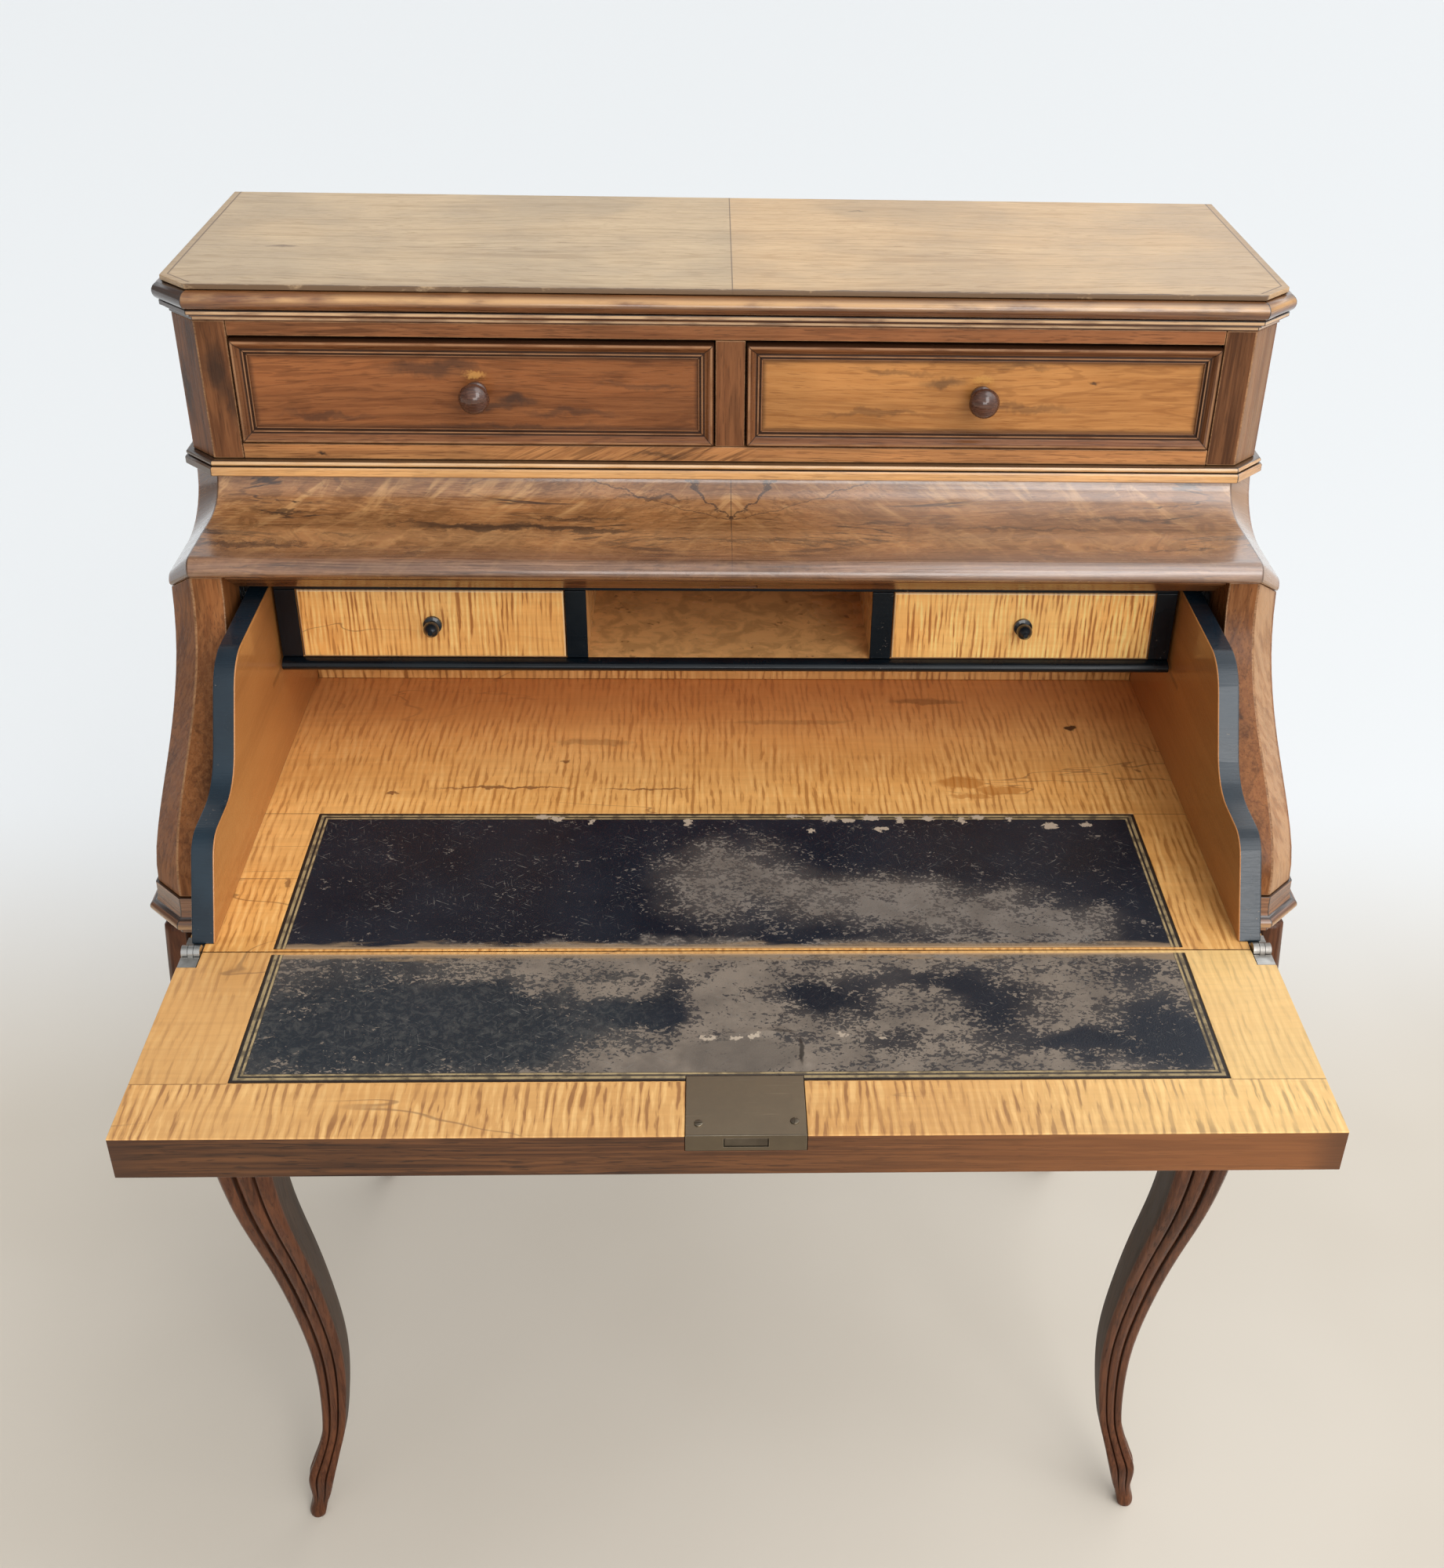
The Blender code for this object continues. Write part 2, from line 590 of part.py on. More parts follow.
def build_aprons(root):
    reach = LEG_BLOCK / 2 + GLUE_LINE
    front, rear = leg_block_centre(-1), leg_block_centre(1)
    face = front.y - LEG_BLOCK / 2 + APRON_SETBACK
    span = front.x - reach
    piece("apron_front", along_y(apron_outline(-span, span), face, face + APRON_THICKNESS), "walnut", root)
    face = rear.y + LEG_BLOCK / 2 - APRON_SETBACK
    piece("apron_back", along_y(apron_outline(-span, span), face - APRON_THICKNESS, face), "walnut", root)
    for side, name in ((-1, "left"), (1, "right")):
        outer = side * (front.x + LEG_BLOCK / 2 - APRON_SETBACK)
        outline = apron_outline(front.y + reach, rear.y - reach)
        piece(f"apron_{name}", along_x(outline, outer - side * APRON_THICKNESS, outer), "walnut", root)


# Shares of the height, the sweep (outwards from the foot) and the block's size, and the roundness
LEG_STATIONS = (
    (1.000, -0.15, 1.00, 0.0),
    (0.880, 0.02, 1.00, 0.0),
    (0.740, 0.15, 0.88, 0.0),
    (0.586, -0.05, 0.72, 0.0),
    (0.436, -0.62, 0.60, 0.0),
    (0.279, -1.00, 0.50, 0.0),
    (0.155, -0.85, 0.38, 0.0),
    (0.106, -0.58, 0.365, 0.0),
    (0.067, -0.26, 0.44, 0.15),
    (0.034, -0.20, 0.33, 0.4),
    (0.020, -0.10, 0.29, 1.0),
    (0.006, -0.03, 0.34, 1.0),
    (0.000, 0.00, 0.28, 1.0),
)


BEAD_STEPS = 6


def smooth_between(stations, steps):
    """Rows between the stations, on a curve that passes through each."""
    rows = []
    last = len(stations) - 1
    for i in range(last):
        a, b = stations[i], stations[i + 1]
        before, after = stations[max(i - 1, 0)], stations[min(i + 2, last)]
        for k in range(steps if i < last - 4 else 1):
            t = k / steps
            row = []
            for p0, p1, p2, p3 in zip(before, a, b, after):
                bend = (2 * p0 - 5 * p1 + 4 * p2 - p3) * t * t + (3 * p1 - p0 - 3 * p2 + p3) * t**3
                row.append(p1 + 0.5 * ((p2 - p0) * t + bend))
            rows.append(row)
    rows.append(stations[-1])
    return rows


def leg_outline(size, roundness):
    """A leg's section: on each outer face, +x and +y, a bead between two grooves and two flat strips."""
    h = size / 2
    ease = size * LEG_EASE_SHARE
    bead = size * LEG_BEAD_SHARE
    strip = bead + size * LEG_QUIRK_SHARE
    floor = h - size * LEG_QUIRK_DEPTH
    crown = h + LEG_BEAD - floor
    run = [(h - ease, -h), (h, ease - h), (h, -strip)]
    for i in range(BEAD_STEPS + 1):
        angle = math.pi * (i / BEAD_STEPS - 0.5)
        run.append((floor + crown * math.cos(angle), bead * math.sin(angle)))
    run += [(h, strip), (h, h - ease)]
    points = [Vector(p) for p in run] + [Vector((y, x)) for x, y in reversed(run)]
    points += [Vector((-h, ease - h)), Vector((ease - h, -h))]
    return [p.lerp(p.normalized() * h, roundness) for p in points]


def leg(across, towards):
    """A cabriole leg on the diagonal: across is its side, towards is -1 at the front and 1 behind."""
    top = leg_block_centre(towards)
    foot = top + Vector((FOOT_SPLAY, towards * FOOT_SPLAY))
    sections = []
    height = LEG_HEIGHT - GLUE_LINE
    for share, out, size, roundness in smooth_between(LEG_STATIONS, 3):
        centre = foot + Vector((1, towards)) * ANKLE_SWEEP * out
        line = leg_outline(LEG_BLOCK * size, min(max(roundness, 0), 1))
        sections.append([(across * (centre.x + p.x), centre.y + towards * p.y, height * share) for p in line])
    return loft(sections)


# A drawer frame from the outside in, as shares of its width and of its height
FRAME_PROFILE = (
    (0.00, 0.30), (0.10, 0.92), (0.22, 1.00), (0.34, 0.86), (0.42, 0.55),  # rounded edge
    (0.47, 0.24), (0.56, 0.08), (0.65, 0.04),  # hollow
    (0.67, 0.22), (0.79, 0.22),  # fillet
    (0.81, -0.16), (0.87, -0.16),  # groove
    (0.89, 0.06), (0.97, 0.06),  # small bead beside the panel
)


def framed_front(x0, x1, z0, z1, back, steps):
    """A drawer front whose face steps inwards: steps gives the inset and the y of each line."""
    sections = []
    for inset, y in [(0, back)] + steps:
        left, right, low, high = x0 + inset, x1 - inset, z0 + inset, z1 - inset
        sections.append([(left, y, low), (right, y, low), (right, y, high), (left, y, high)])
    return loft(sections)


def mushroom_knob(radius, length):
    """Radius and reach of a turned wooden knob with a foot, a neck and a domed head."""
    shares = ((0, 0), (0.72, 0), (0.72, 0.12), (0.50, 0.20), (0.46, 0.38))
    foot = [(radius * r, length * reach) for r, reach in shares]
    flatness = 0.62
    dome = arc(0, 0, radius, -50, 72, 5)
    dome = [(r, length + (reach - radius) * flatness) for r, reach in dome]
    return foot + dome + [(0, length)]


def ball_knob(radius, length):
    """A small turned knob: a flange, a ring and a ball with a pip."""
    shares = ((0, 0), (1.0, 0), (1.0, 0.14), (0.62, 0.20), (0.55, 0.30))
    flange = [(radius * r, length * reach) for r, reach in shares]
    head = arc(0, length - radius, radius * 0.86, -45, 62, 4)
    return flange + head + [(radius * 0.25, length), (0, length)]


def build_drawers(root):
    front = -UPPER_DEPTH
    rib = CENTRE_STILE / 2
    for side, name in ((-1, "left"), (1, "right")):
        x0, x1 = sorted((side * (rib + DRAWER_PLAY), side * (OPENING_HALF - DRAWER_PLAY)))
        z0, z1 = DRAWER_FLOOR + DRAWER_PLAY, DRAWER_CEILING - DRAWER_DROP
        middle, height = (x0 + x1) / 2, (DRAWER_FLOOR + DRAWER_CEILING) / 2
        slide = group(f"drawer_{name}_slide", root, (middle, front, height))
        back = front + DRAWER_FRONT
        steps = [(FRAME_WIDTH * across, front - FRAME_PROUD * out) for across, out in FRAME_PROFILE]
        steps += [(FRAME_WIDTH, front + PANEL_SUNK)]
        piece(f"drawer_{name}_front", framed_front(x0, x1, z0, z1, back, steps), "walnut", slide)
        low, high = DRAWER_FLOOR + RUN, z1 - BOX_HEADROOM
        rear = BACK_FACE - DRAWER_BACK_GAP
        box = open_box(x0, x1, back + GLUE_LINE, rear, low, high, DRAWER_WALL, DRAWER_BOTTOM)
        piece(f"drawer_{name}_box", box, "pale walnut", slide)
        profile = mushroom_knob(KNOB_RADIUS, KNOB_LENGTH)
        knob = turned(profile, middle, front + PANEL_SUNK - GLUE_LINE, height)
        piece(f"drawer_{name}_knob", knob, "walnut", slide, 35)


def build_gallery(root):
    front = -GALLERY_DEPTH
    rear = BACK_FACE - GLUE_LINE
    low = WRITING + GALLERY_LIFT
    floor, ceiling = GALLERY_FLOOR, GALLERY_CEILING
    hung = LIP - GLUE_LINE
    board = hung - GALLERY_TOP
    rail = front + GALLERY_POST
    outline = [(front, ceiling), (rail, ceiling), (rail, board)]
    outline += [(rear, board), (rear, hung), (front, hung)]
    piece("gallery_top", along_x(outline, -GALLERY_HALF, GALLERY_HALF), "ebonised wood", root)
    bead = arc(front, (low + floor) / 2, GALLERY_BOTTOM / 2, 270, 90, 8)
    bead = [(front + (y - front) * GALLERY_BEAD / (GALLERY_BOTTOM / 2), z) for y, z in bead]
    outline = [(rear, floor), (rear, low)] + bead
    piece("gallery_bottom", along_x(outline, -GALLERY_HALF, GALLERY_HALF), "ebonised wood", root, 30)
    under = board - GLUE_LINE
    behind = rail + GLUE_LINE
    upright = [(front, floor + GLUE_LINE), (rear, floor + GLUE_LINE), (rear, under), (behind, under)]
    upright += [(behind, ceiling - GLUE_LINE), (front, ceiling - GLUE_LINE)]
    for side, name in ((-1, "left"), (1, "right")):
        post = GALLERY_HALF - GALLERY_POST
        end = along_x(upright, side * post, side * GALLERY_HALF)
        piece(f"gallery_end_{name}", end, "ebonised wood", root)
        wall = PIGEONHOLE_HALF + GALLERY_DIVIDER
        divider = along_x(upright, side * PIGEONHOLE_HALF, side * wall)
        piece(f"gallery_divider_{name}", divider, "ebonised wood", root)
        build_small_drawer(root, side, name, wall, post)


def build_small_drawer(root, side, name, wall, post):
    front = -GALLERY_DEPTH + SMALL_SETBACK
    x0, x1 = sorted((side * (wall + DRAWER_PLAY), side * (post - DRAWER_PLAY)))
    z0, z1 = GALLERY_FLOOR + RUN, GALLERY_CEILING - DRAWER_PLAY
    middle = (x0 + x1) / 2
    slide = group(f"small_drawer_{name}_slide", root, (middle, front, (z0 + z1) / 2))
    back = front + SMALL_FRONT
    steps = [(0, front + SMALL_EASE), (SMALL_EASE, front)]
    piece(f"small_drawer_{name}_front", framed_front(x0, x1, z0, z1, back, steps), "maple", slide)
    rear = BACK_FACE - DRAWER_BACK_GAP
    box = open_box(x0, x1, back + GLUE_LINE, rear, z0, z1 - BOX_HEADROOM, SMALL_WALL, SMALL_BOTTOM)
    piece(f"small_drawer_{name}_box", box, "maple", slide)
    profile = ball_knob(SMALL_KNOB_RADIUS, SMALL_KNOB_LENGTH)
    knob = turned(profile, middle, front - GLUE_LINE, (z0 + z1) / 2)
    piece(f"small_drawer_{name}_knob", knob, "ebonised wood", slide, 35)


def closed_to_fall(p):
    """A point of the closed desk, as its distance up the fall's inner face and out from it."""
    arm = p - Vector((HINGE_CLOSED, WRITING))
    return arm.dot(ALONG), arm.dot(OUTWARD)


def fall_to_open(up, out):
    """A point of the fall, as y and z with the fall open."""
    return HINGE - up, WRITING - out


def fall_foot():
    """Where the fall's curved face ends above the base, as distance up the fall and out from it."""
    line = slant_line(FALL_INSET)
    z = BASE_TOP + FALL_FOOT_GAP
    return closed_to_fall(Vector((height_on(line, z), z)))


def base_edge_seen(share):
    """The base's front edge in the fall's own terms (up, out), the desk closed by a share."""
    edge = Vector((-SLANT_FOOT_DEPTH - BASE_NECK, BASE_TOP))
    arm = edge - Vector((HINGE + (HINGE_CLOSED - HINGE) * share, WRITING))
    turn = (math.pi - SLANT) * share
    along = Vector((-math.cos(turn), math.sin(turn)))
    out = Vector((-math.sin(turn), -math.cos(turn)))
    return Vector((arm.dot(along), arm.dot(out)))


def closing_rebate(foot):
    """The rebate behind the fall's foot that lets the base's front edge pass: its knee and its upper end."""
    path = [base_edge_seen(i / CLOSING_STEPS) for i in range(CLOSING_STEPS + 1)]
    wall = max(p.x for p in path) + SWEEP_GAP
    passing = [p for p in path if p.x > foot[0] + SWEEP_GAP]
    slope = min((foot[1] - p.y - SWEEP_GAP) / (p.x - foot[0]) for p in passing)
    return [(wall, foot[1] - slope * (wall - foot[0])), (wall, wall * foot[1] / foot[0])]


def fall_outline():
    """The fall's section, open: flat inside, serpentine outside, bevelled where it meets the tray."""
    foot = fall_foot()
    rim = FALL_LENGTH - FALL_EASE
    curve = [closed_to_fall(p) for p in slant_line(FALL_INSET)]
    curve = [(up, out) for up, out in curve if foot[0] + FALL_CORNER < up < rim - FALL_CORNER]
    profile = [(JOINT_PLAY / 2, 0), (FALL_LENGTH, 0), (FALL_LENGTH, FALL_EDGE - FALL_EASE)]
    profile += [(rim, FALL_EDGE)] + curve + [foot] + closing_rebate(foot)
    return [fall_to_open(up, out) for up, out in profile]


def hinge_parts(side):
    """What makes up one butt hinge: its middle knuckle is on the fall, the others are on the tray."""
    inner, outer = HINGE_INNER, HINGE_OUTER
    first, second = inner + KNUCKLE, inner + 2 * KNUCKLE

    def span(a, b):
        return sorted((side * a, side * b))

    def leaf(direction):
        y = sorted((HINGE + direction * (HINGE_RADIUS + RUN), HINGE + direction * HINGE_REACH))
        return block(*span(inner, outer), *y, WRITING - HINGE_LEAF, WRITING - GLUE_LINE)

    def knuckle(a, b, direction):
        bm = rod(*span(a, b), HINGE, WRITING, HINGE_RADIUS)
        y = sorted((HINGE + direction * HINGE_NECK, HINGE + direction * (HINGE_RADIUS + 2 * RUN)))
        return bm, block(*span(a, b), *y, WRITING - HINGE_LEAF, WRITING - GLUE_LINE)

    return leaf, knuckle, (inner, first, second, outer), span


def build_hinge(tray, fall, side, name):
    leaf, knuckle, (inner, first, second, outer), span = hinge_parts(side)
    swing = piece(f"fall_hinge_{name}", leaf(-1), "steel", fall, 30)
    barrel, neck = knuckle(first + GLUE_LINE, second - GLUE_LINE, -1)
    combine(swing, barrel, "UNION")
    combine(swing, neck, "UNION")
    bore = rod(*span(first - RUN, second + RUN), HINGE, WRITING, HINGE_PIN + GLUE_LINE, 12)
    combine(swing, bore, "DIFFERENCE")
    fixed = piece(f"tray_hinge_{name}", leaf(1), "steel", tray, 30)
    for a, b in ((inner, first), (second, outer)):
        barrel, neck = knuckle(a, b, 1)
        combine(fixed, barrel, "UNION")
        combine(fixed, neck, "UNION")
    combine(fixed, rod(*span(inner + RUN, outer - RUN), HINGE, WRITING, HINGE_PIN, 12), "UNION")


def hinge_relief(side, direction):
    """What is cut from the tray (1) or the fall (-1) for a hinge: the barrel's hollow and the leaf's seat."""
    play = RUN
    inner, outer = sorted((side * (HINGE_INNER - play), side * (FALL_HALF + CUT_PAST)))
    barrel = rod(inner, outer, HINGE, WRITING, HINGE_RADIUS + play)
    y = sorted((HINGE, HINGE + direction * (HINGE_REACH + GLUE_LINE)))
    seat = block(inner, outer, *y, WRITING - HINGE_LEAF - GLUE_LINE, WRITING + CUT_PAST)
    return barrel, seat


def tray_side_outline():
    """The ebonised side's shape: foot at the hinge line, toe, hollow, shoulder and back."""
    lean = CLOSED_SLANT + TOE_LEAN
    base = WRITING + GLUE_LINE
    rise = math.radians(lean)
    start = TOE_SETBACK
    climb = TOE_HEIGHT - TOE_RADIUS * (1 - math.cos(rise))
    toe_x = start + climb / math.tan(rise)
    line = [(start, 0.0)]
    line += arc(toe_x + TOE_RADIUS * math.sin(rise), TOE_HEIGHT - TOE_RADIUS, TOE_RADIUS, 90 + lean, 90, 6)
    slope = math.radians(SHOULDER_SLOPE)
    line += arc(HOLLOW_START, TOE_HEIGHT + HOLLOW_RADIUS, HOLLOW_RADIUS, 270, 270 + SHOULDER_SLOPE, 6)
    end_x, end_h = line[-1]
    curve_rise = SHOULDER_RADIUS * (1 - math.cos(slope))
    straight = (SHOULDER_HEIGHT - curve_rise - end_h) / math.tan(slope)
    centre = end_x + straight + SHOULDER_RADIUS * math.sin(slope)
    line += arc(centre, SHOULDER_HEIGHT - SHOULDER_RADIUS, SHOULDER_RADIUS, 90 + SHOULDER_SLOPE, 90, 6)
    points = [(HINGE + back, base + up) for back, up in line]
    return points + [(TRAY_REAR, base + SHOULDER_HEIGHT), (TRAY_REAR, base)]


def leather_tools(y0, y1):
    """A writing leather's recess and the leather itself, between two lines along x."""
    half = LEATHER_HALF + GLUE_LINE
    bed = WRITING - LEATHER_THICKNESS
    recess = block(-half, half, y0 - GLUE_LINE, y1 + GLUE_LINE, bed, WRITING + CUT_PAST)
    skin = block(-LEATHER_HALF, LEATHER_HALF, y0, y1, bed + GLUE_LINE, WRITING)
    return recess, skin


def build_tray(root):
    tray = group("tray_slide", root, (0, HINGE, WRITING))
    foot = fall_foot()
    bevel = TRAY_FLOOR * -foot[0] / foot[1]
    low = WRITING - TRAY_FLOOR
    lead = HINGE + JOINT_PLAY / 2
    outline = [(lead, WRITING), (lead + bevel, low), (TRAY_REAR, low), (TRAY_REAR, WRITING)]
    floor = piece("tray_floor", along_x(outline, -TRAY_HALF, TRAY_HALF), "maple", tray)
    recess, skin = leather_tools(HINGE + LEATHER_MARGIN, HINGE + TRAY_LEATHER)
    combine(floor, recess, "DIFFERENCE")
    for side in (-1, 1):
        for tool in hinge_relief(side, 1):
            combine(floor, tool, "DIFFERENCE")
    piece("tray_leather", skin, "leather", tray)
    for side, name in ((-1, "left"), (1, "right")):
        cheek = along_x(tray_side_outline(), side * TRAY_INNER, side * (TRAY_INNER + TRAY_SIDE))
        piece(f"tray_side_{name}", cheek, "ebonised wood", tray, 30)
    half = TRAY_INNER - GLUE_LINE
    high = WRITING + GALLERY_LIFT - RUN
    back = block(-half, half, TRAY_REAR - TRAY_BACK, TRAY_REAR, WRITING + GLUE_LINE, high)
    piece("tray_back", back, "maple", tray)
    return tray


def build_fall(tray):
    fall = group("fall_hinge", tray, (0, HINGE, WRITING))
    panel = piece("fall_panel", along_x(fall_outline(), -FALL_HALF, FALL_HALF), "maple", fall, 30)
    recess, skin = leather_tools(HINGE - FALL_LEATHER, HINGE - LEATHER_MARGIN)
    combine(panel, recess, "DIFFERENCE")
    for side in (-1, 1):
        for tool in hinge_relief(side, -1):
            combine(panel, tool, "DIFFERENCE")
    leather = piece("fall_leather", skin, "leather", fall)
    for side, name in ((-1, "left"), (1, "right")):
        build_hinge(tray, fall, side, name)
    build_lock(fall, (panel, leather))


def build_lock(fall, around):
    """A box lock let into the fall's free edge and its leather, and the lock's sliding bolt."""
    rim = HINGE - FALL_LENGTH
    x0, x1 = LOCK_OFFSET - LOCK_WIDTH / 2, LOCK_OFFSET + LOCK_WIDTH / 2
    back = rim + LOCK_REACH
    low = WRITING - LOCK_DEPTH
    for obj in around:
        mortise = block(x0 - GLUE_LINE, x1 + GLUE_LINE, rim - CUT_PAST, back + GLUE_LINE,
                        low - GLUE_LINE, WRITING + CUT_PAST)
        combine(obj, mortise, "DIFFERENCE")
    case = piece("lock_case", block(x0, x1, rim, back, low, WRITING), "bronze", fall)
    half = BOLT_WIDTH / 2
    middle = WRITING - LOCK_DEPTH / 2
    thick = BOLT_THICKNESS / 2
    slot = block(LOCK_OFFSET - half - GLUE_LINE, LOCK_OFFSET + half + GLUE_LINE, rim - CUT_PAST,
                 rim + BOLT_LENGTH + 2 * RUN, middle - thick - GLUE_LINE, middle + thick + GLUE_LINE)
    combine(case, slot, "DIFFERENCE")
    slide = group("bolt_slide", fall, (LOCK_OFFSET, rim, middle))
    near = rim + RUN
    left, right = LOCK_OFFSET - half, LOCK_OFFSET + half
    bolt = block(left, right, near, near + BOLT_LENGTH, middle - thick, middle + thick)
    piece("lock_bolt", bolt, "steel", slide)


def build_fall_stop(root):
    """The batten under the lip that the closed fall meets, with a mortise for the lock's bolt."""
    face = FALL_LENGTH + STOP_GAP
    upper = FALL_EDGE - FALL_EASE - STOP_GAP
    hinge = Vector((HINGE_CLOSED, WRITING))
    crest = hinge + ALONG * face + OUTWARD * upper
    toe = crest - OUTWARD * STOP_DEPTH
    top = LIP - GLUE_LINE
    behind = toe.x + STOP_LAND
    outline = [(crest.x, min(crest.y, top - STOP_EDGE)), (toe.x, toe.y)]
    outline += [(behind, toe.y), (behind, top), (crest.x, top)]
    span = OPENING_HALF - GLUE_LINE
    batten = piece("fall_stop", along_x(outline, -span, span), "walnut", root)
    centre = LOCK_DEPTH / 2
    reach = BOLT_THROW + RUN
    near, far = face - STRIKE_LEAD, face + reach
    low, high = centre - BOLT_THICKNESS, centre + BOLT_THICKNESS
    corners = [(near, low), (far, low), (far, high), (near, high)]
    mortise = [(hinge + ALONG * up + OUTWARD * out).to_tuple() for up, out in corners]
    half = BOLT_WIDTH / 2 + 2 * RUN
    combine(batten, along_x(mortise, LOCK_OFFSET - half, LOCK_OFFSET + half), "DIFFERENCE")


def main():
    for obj in list(bpy.data.objects):
        bpy.data.objects.remove(obj)
    root = group("desk", None, (0, 0, 0))
    root.location.y = OPEN_DEPTH / 2
    build_top(root)
    build_upper_case(root)
    build_waist(root)
    build_ogee_board(root)
    build_lower_case(root)
    build_fall_stop(root)
    build_base(root)
    build_drawers(root)
    build_gallery(root)
    tray = build_tray(root)
    build_fall(tray)


main()
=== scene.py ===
"""Finishes for the slant-front desk: polished walnut, ebonised edges, curly maple and worn leather."""

import json
import math

import bmesh
import bpy
from mathutils import Matrix, Vector
from mathutils import noise as sea

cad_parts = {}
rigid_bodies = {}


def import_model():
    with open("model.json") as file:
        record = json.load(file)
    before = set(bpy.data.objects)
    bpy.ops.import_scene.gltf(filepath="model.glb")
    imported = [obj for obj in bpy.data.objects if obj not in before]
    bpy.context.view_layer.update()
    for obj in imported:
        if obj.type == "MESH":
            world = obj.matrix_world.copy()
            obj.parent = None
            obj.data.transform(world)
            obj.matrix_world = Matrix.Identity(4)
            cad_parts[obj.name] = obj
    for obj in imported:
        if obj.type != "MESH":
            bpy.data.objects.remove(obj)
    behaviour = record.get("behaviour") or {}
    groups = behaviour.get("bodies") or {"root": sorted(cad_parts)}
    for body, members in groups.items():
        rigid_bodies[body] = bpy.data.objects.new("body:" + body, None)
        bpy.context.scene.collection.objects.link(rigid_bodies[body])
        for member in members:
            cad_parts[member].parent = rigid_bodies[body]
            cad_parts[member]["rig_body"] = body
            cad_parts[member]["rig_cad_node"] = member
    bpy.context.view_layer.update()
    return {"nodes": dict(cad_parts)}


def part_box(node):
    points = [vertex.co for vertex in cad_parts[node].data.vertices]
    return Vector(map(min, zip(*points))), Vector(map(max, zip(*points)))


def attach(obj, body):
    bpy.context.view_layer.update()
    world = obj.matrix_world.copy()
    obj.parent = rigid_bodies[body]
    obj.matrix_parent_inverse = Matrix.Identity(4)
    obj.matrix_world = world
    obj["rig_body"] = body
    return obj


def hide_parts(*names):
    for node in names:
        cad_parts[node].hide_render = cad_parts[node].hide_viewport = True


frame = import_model()

# Places on the desk, in metres
HALF = 0.3825
ARRIS = 0.3630
CANT = 0.0195
UPPER_FRONT = 0.1150
BASE_FRONT = -0.1156
GALLERY_FRONT = 0.0561
GALLERY_HALF = 0.3190
TOP_SURFACE = 1.0243
TOP_OVERHANG = 0.0035
LEAF_SEAM = 0.001
WRITING = 0.7005
HINGE_LINE = -0.19265
TRAY_INNER = 0.3217
LEATHER_HALF = 0.2847
LEATHER_BACK = -0.0370
LEATHER_FRONT = -0.3122
DRAWER_MIDDLE = (0.17625, 0.9495)
DRAWER_HALF = (0.16505, 0.0369)
FRAME_WIDTH = 0.0115

# Shades that several finishes share
SEAM_BROWN = (0.05, 0.024, 0.014)
# Dark of mitre joints, and painted shade in grooves
MITRE_AND_GROOVE_SHADE = (0.020, 0.009, 0.005)
DARK_MARK = (0.02, 0.012, 0.009)

# The photograph's size in pixels, and the camera that was fitted to it
PHOTO_WIDTH, PHOTO_HEIGHT = 1842, 2000
FOCAL_PIXELS = 2232.8
OPTICAL_CENTRE = (983.285, 1006.214)
CAMERA_PLACE = (-0.0146488, -1.0612968, 1.3747748)
CAMERA_PITCH, CAMERA_YAW, CAMERA_ROLL = 0.567459, 0.0419919, 0.0234780
SENSOR = 36.0


# Node helpers

class Flow:
    """What comes out of a node. Sums and comparisons of flows become Math nodes."""

    def __init__(self, socket):
        self.socket = socket
        self.tree = socket.id_data

    def math(self, operation, *others):
        return put(self.tree, "Math", dict(enumerate((self, *others))), operation=operation)

    def __add__(self, other):
        return self.math("ADD", other)

    __radd__ = __add__

    def __mul__(self, other):
        return self.math("MULTIPLY", other)

    def __sub__(self, other):
        return self.math("SUBTRACT", other)

    def __rsub__(self, other):
        return put(self.tree, "Math", {0: other, 1: self}, operation="SUBTRACT")

    def __truediv__(self, other):
        return self.math("DIVIDE", other)

    def __abs__(self):
        return self.math("ABSOLUTE")

    def __lt__(self, other):
        return self.math("LESS_THAN", other)

    def __gt__(self, other):
        return self.math("GREATER_THAN", other)


def fill(socket, value):
    """Links a flow to a socket, or sets its value. A colour needs only its red, green and blue."""
    if isinstance(value, Flow):
        socket.id_data.links.new(value.socket, socket)
    elif socket.type == "RGBA":
        socket.default_value = (*value, 1.0)
    else:
        socket.default_value = value


def add_node(tree, kind, inputs, **settings):
    made = tree.nodes.new("ShaderNode" + kind)
    for key, value in settings.items():
        setattr(made, key, value)
    for key, value in inputs.items():
        fill(made.inputs[key], value)
    return made


def put(tree, kind, inputs, out=0, **settings):
    """Adds a node and gives one of its outputs."""
    return Flow(add_node(tree, kind, inputs, **settings).outputs[out])


def vector_math(operation, *terms):
    out = "Value" if operation in ("LENGTH", "DOT_PRODUCT") else "Vector"
    return put(terms[0].tree, "VectorMath", dict(enumerate(terms)), out, operation=operation)


def blend(share, a, b, mode="MIX"):
    """Mixes two colours."""
    tree = next(term.tree for term in (share, a, b) if isinstance(term, Flow))
    return put(tree, "Mix", {0: share, 6: a, 7: b}, 2, data_type="RGBA", blend_type=mode)


def ease(value, low, high, start=0.0, end=1.0):
    """start below low, end above high, and a soft step between."""
    inputs = {"Value": value, "From Min": low, "From Max": high, "To Min": start, "To Max": end}
    return put(value.tree, "MapRange", inputs, interpolation_type="SMOOTHSTEP")


def line_at(value, middle, full, faded, share=1.0):
    """A line where value is near middle: share up to full away from it, nothing beyond faded."""
    return ease(abs(value - middle), full, faded, share, 0.0)


def least(a, b):
    return a.math("MINIMUM", b)


def stretch(v, factors):
    return vector_math("MULTIPLY", v, factors)


def turned(v, rotation, scale=(1.0, 1.0, 1.0)):
    return put(v.tree, "Mapping", {"Vector": v, "Rotation": rotation, "Scale": scale})


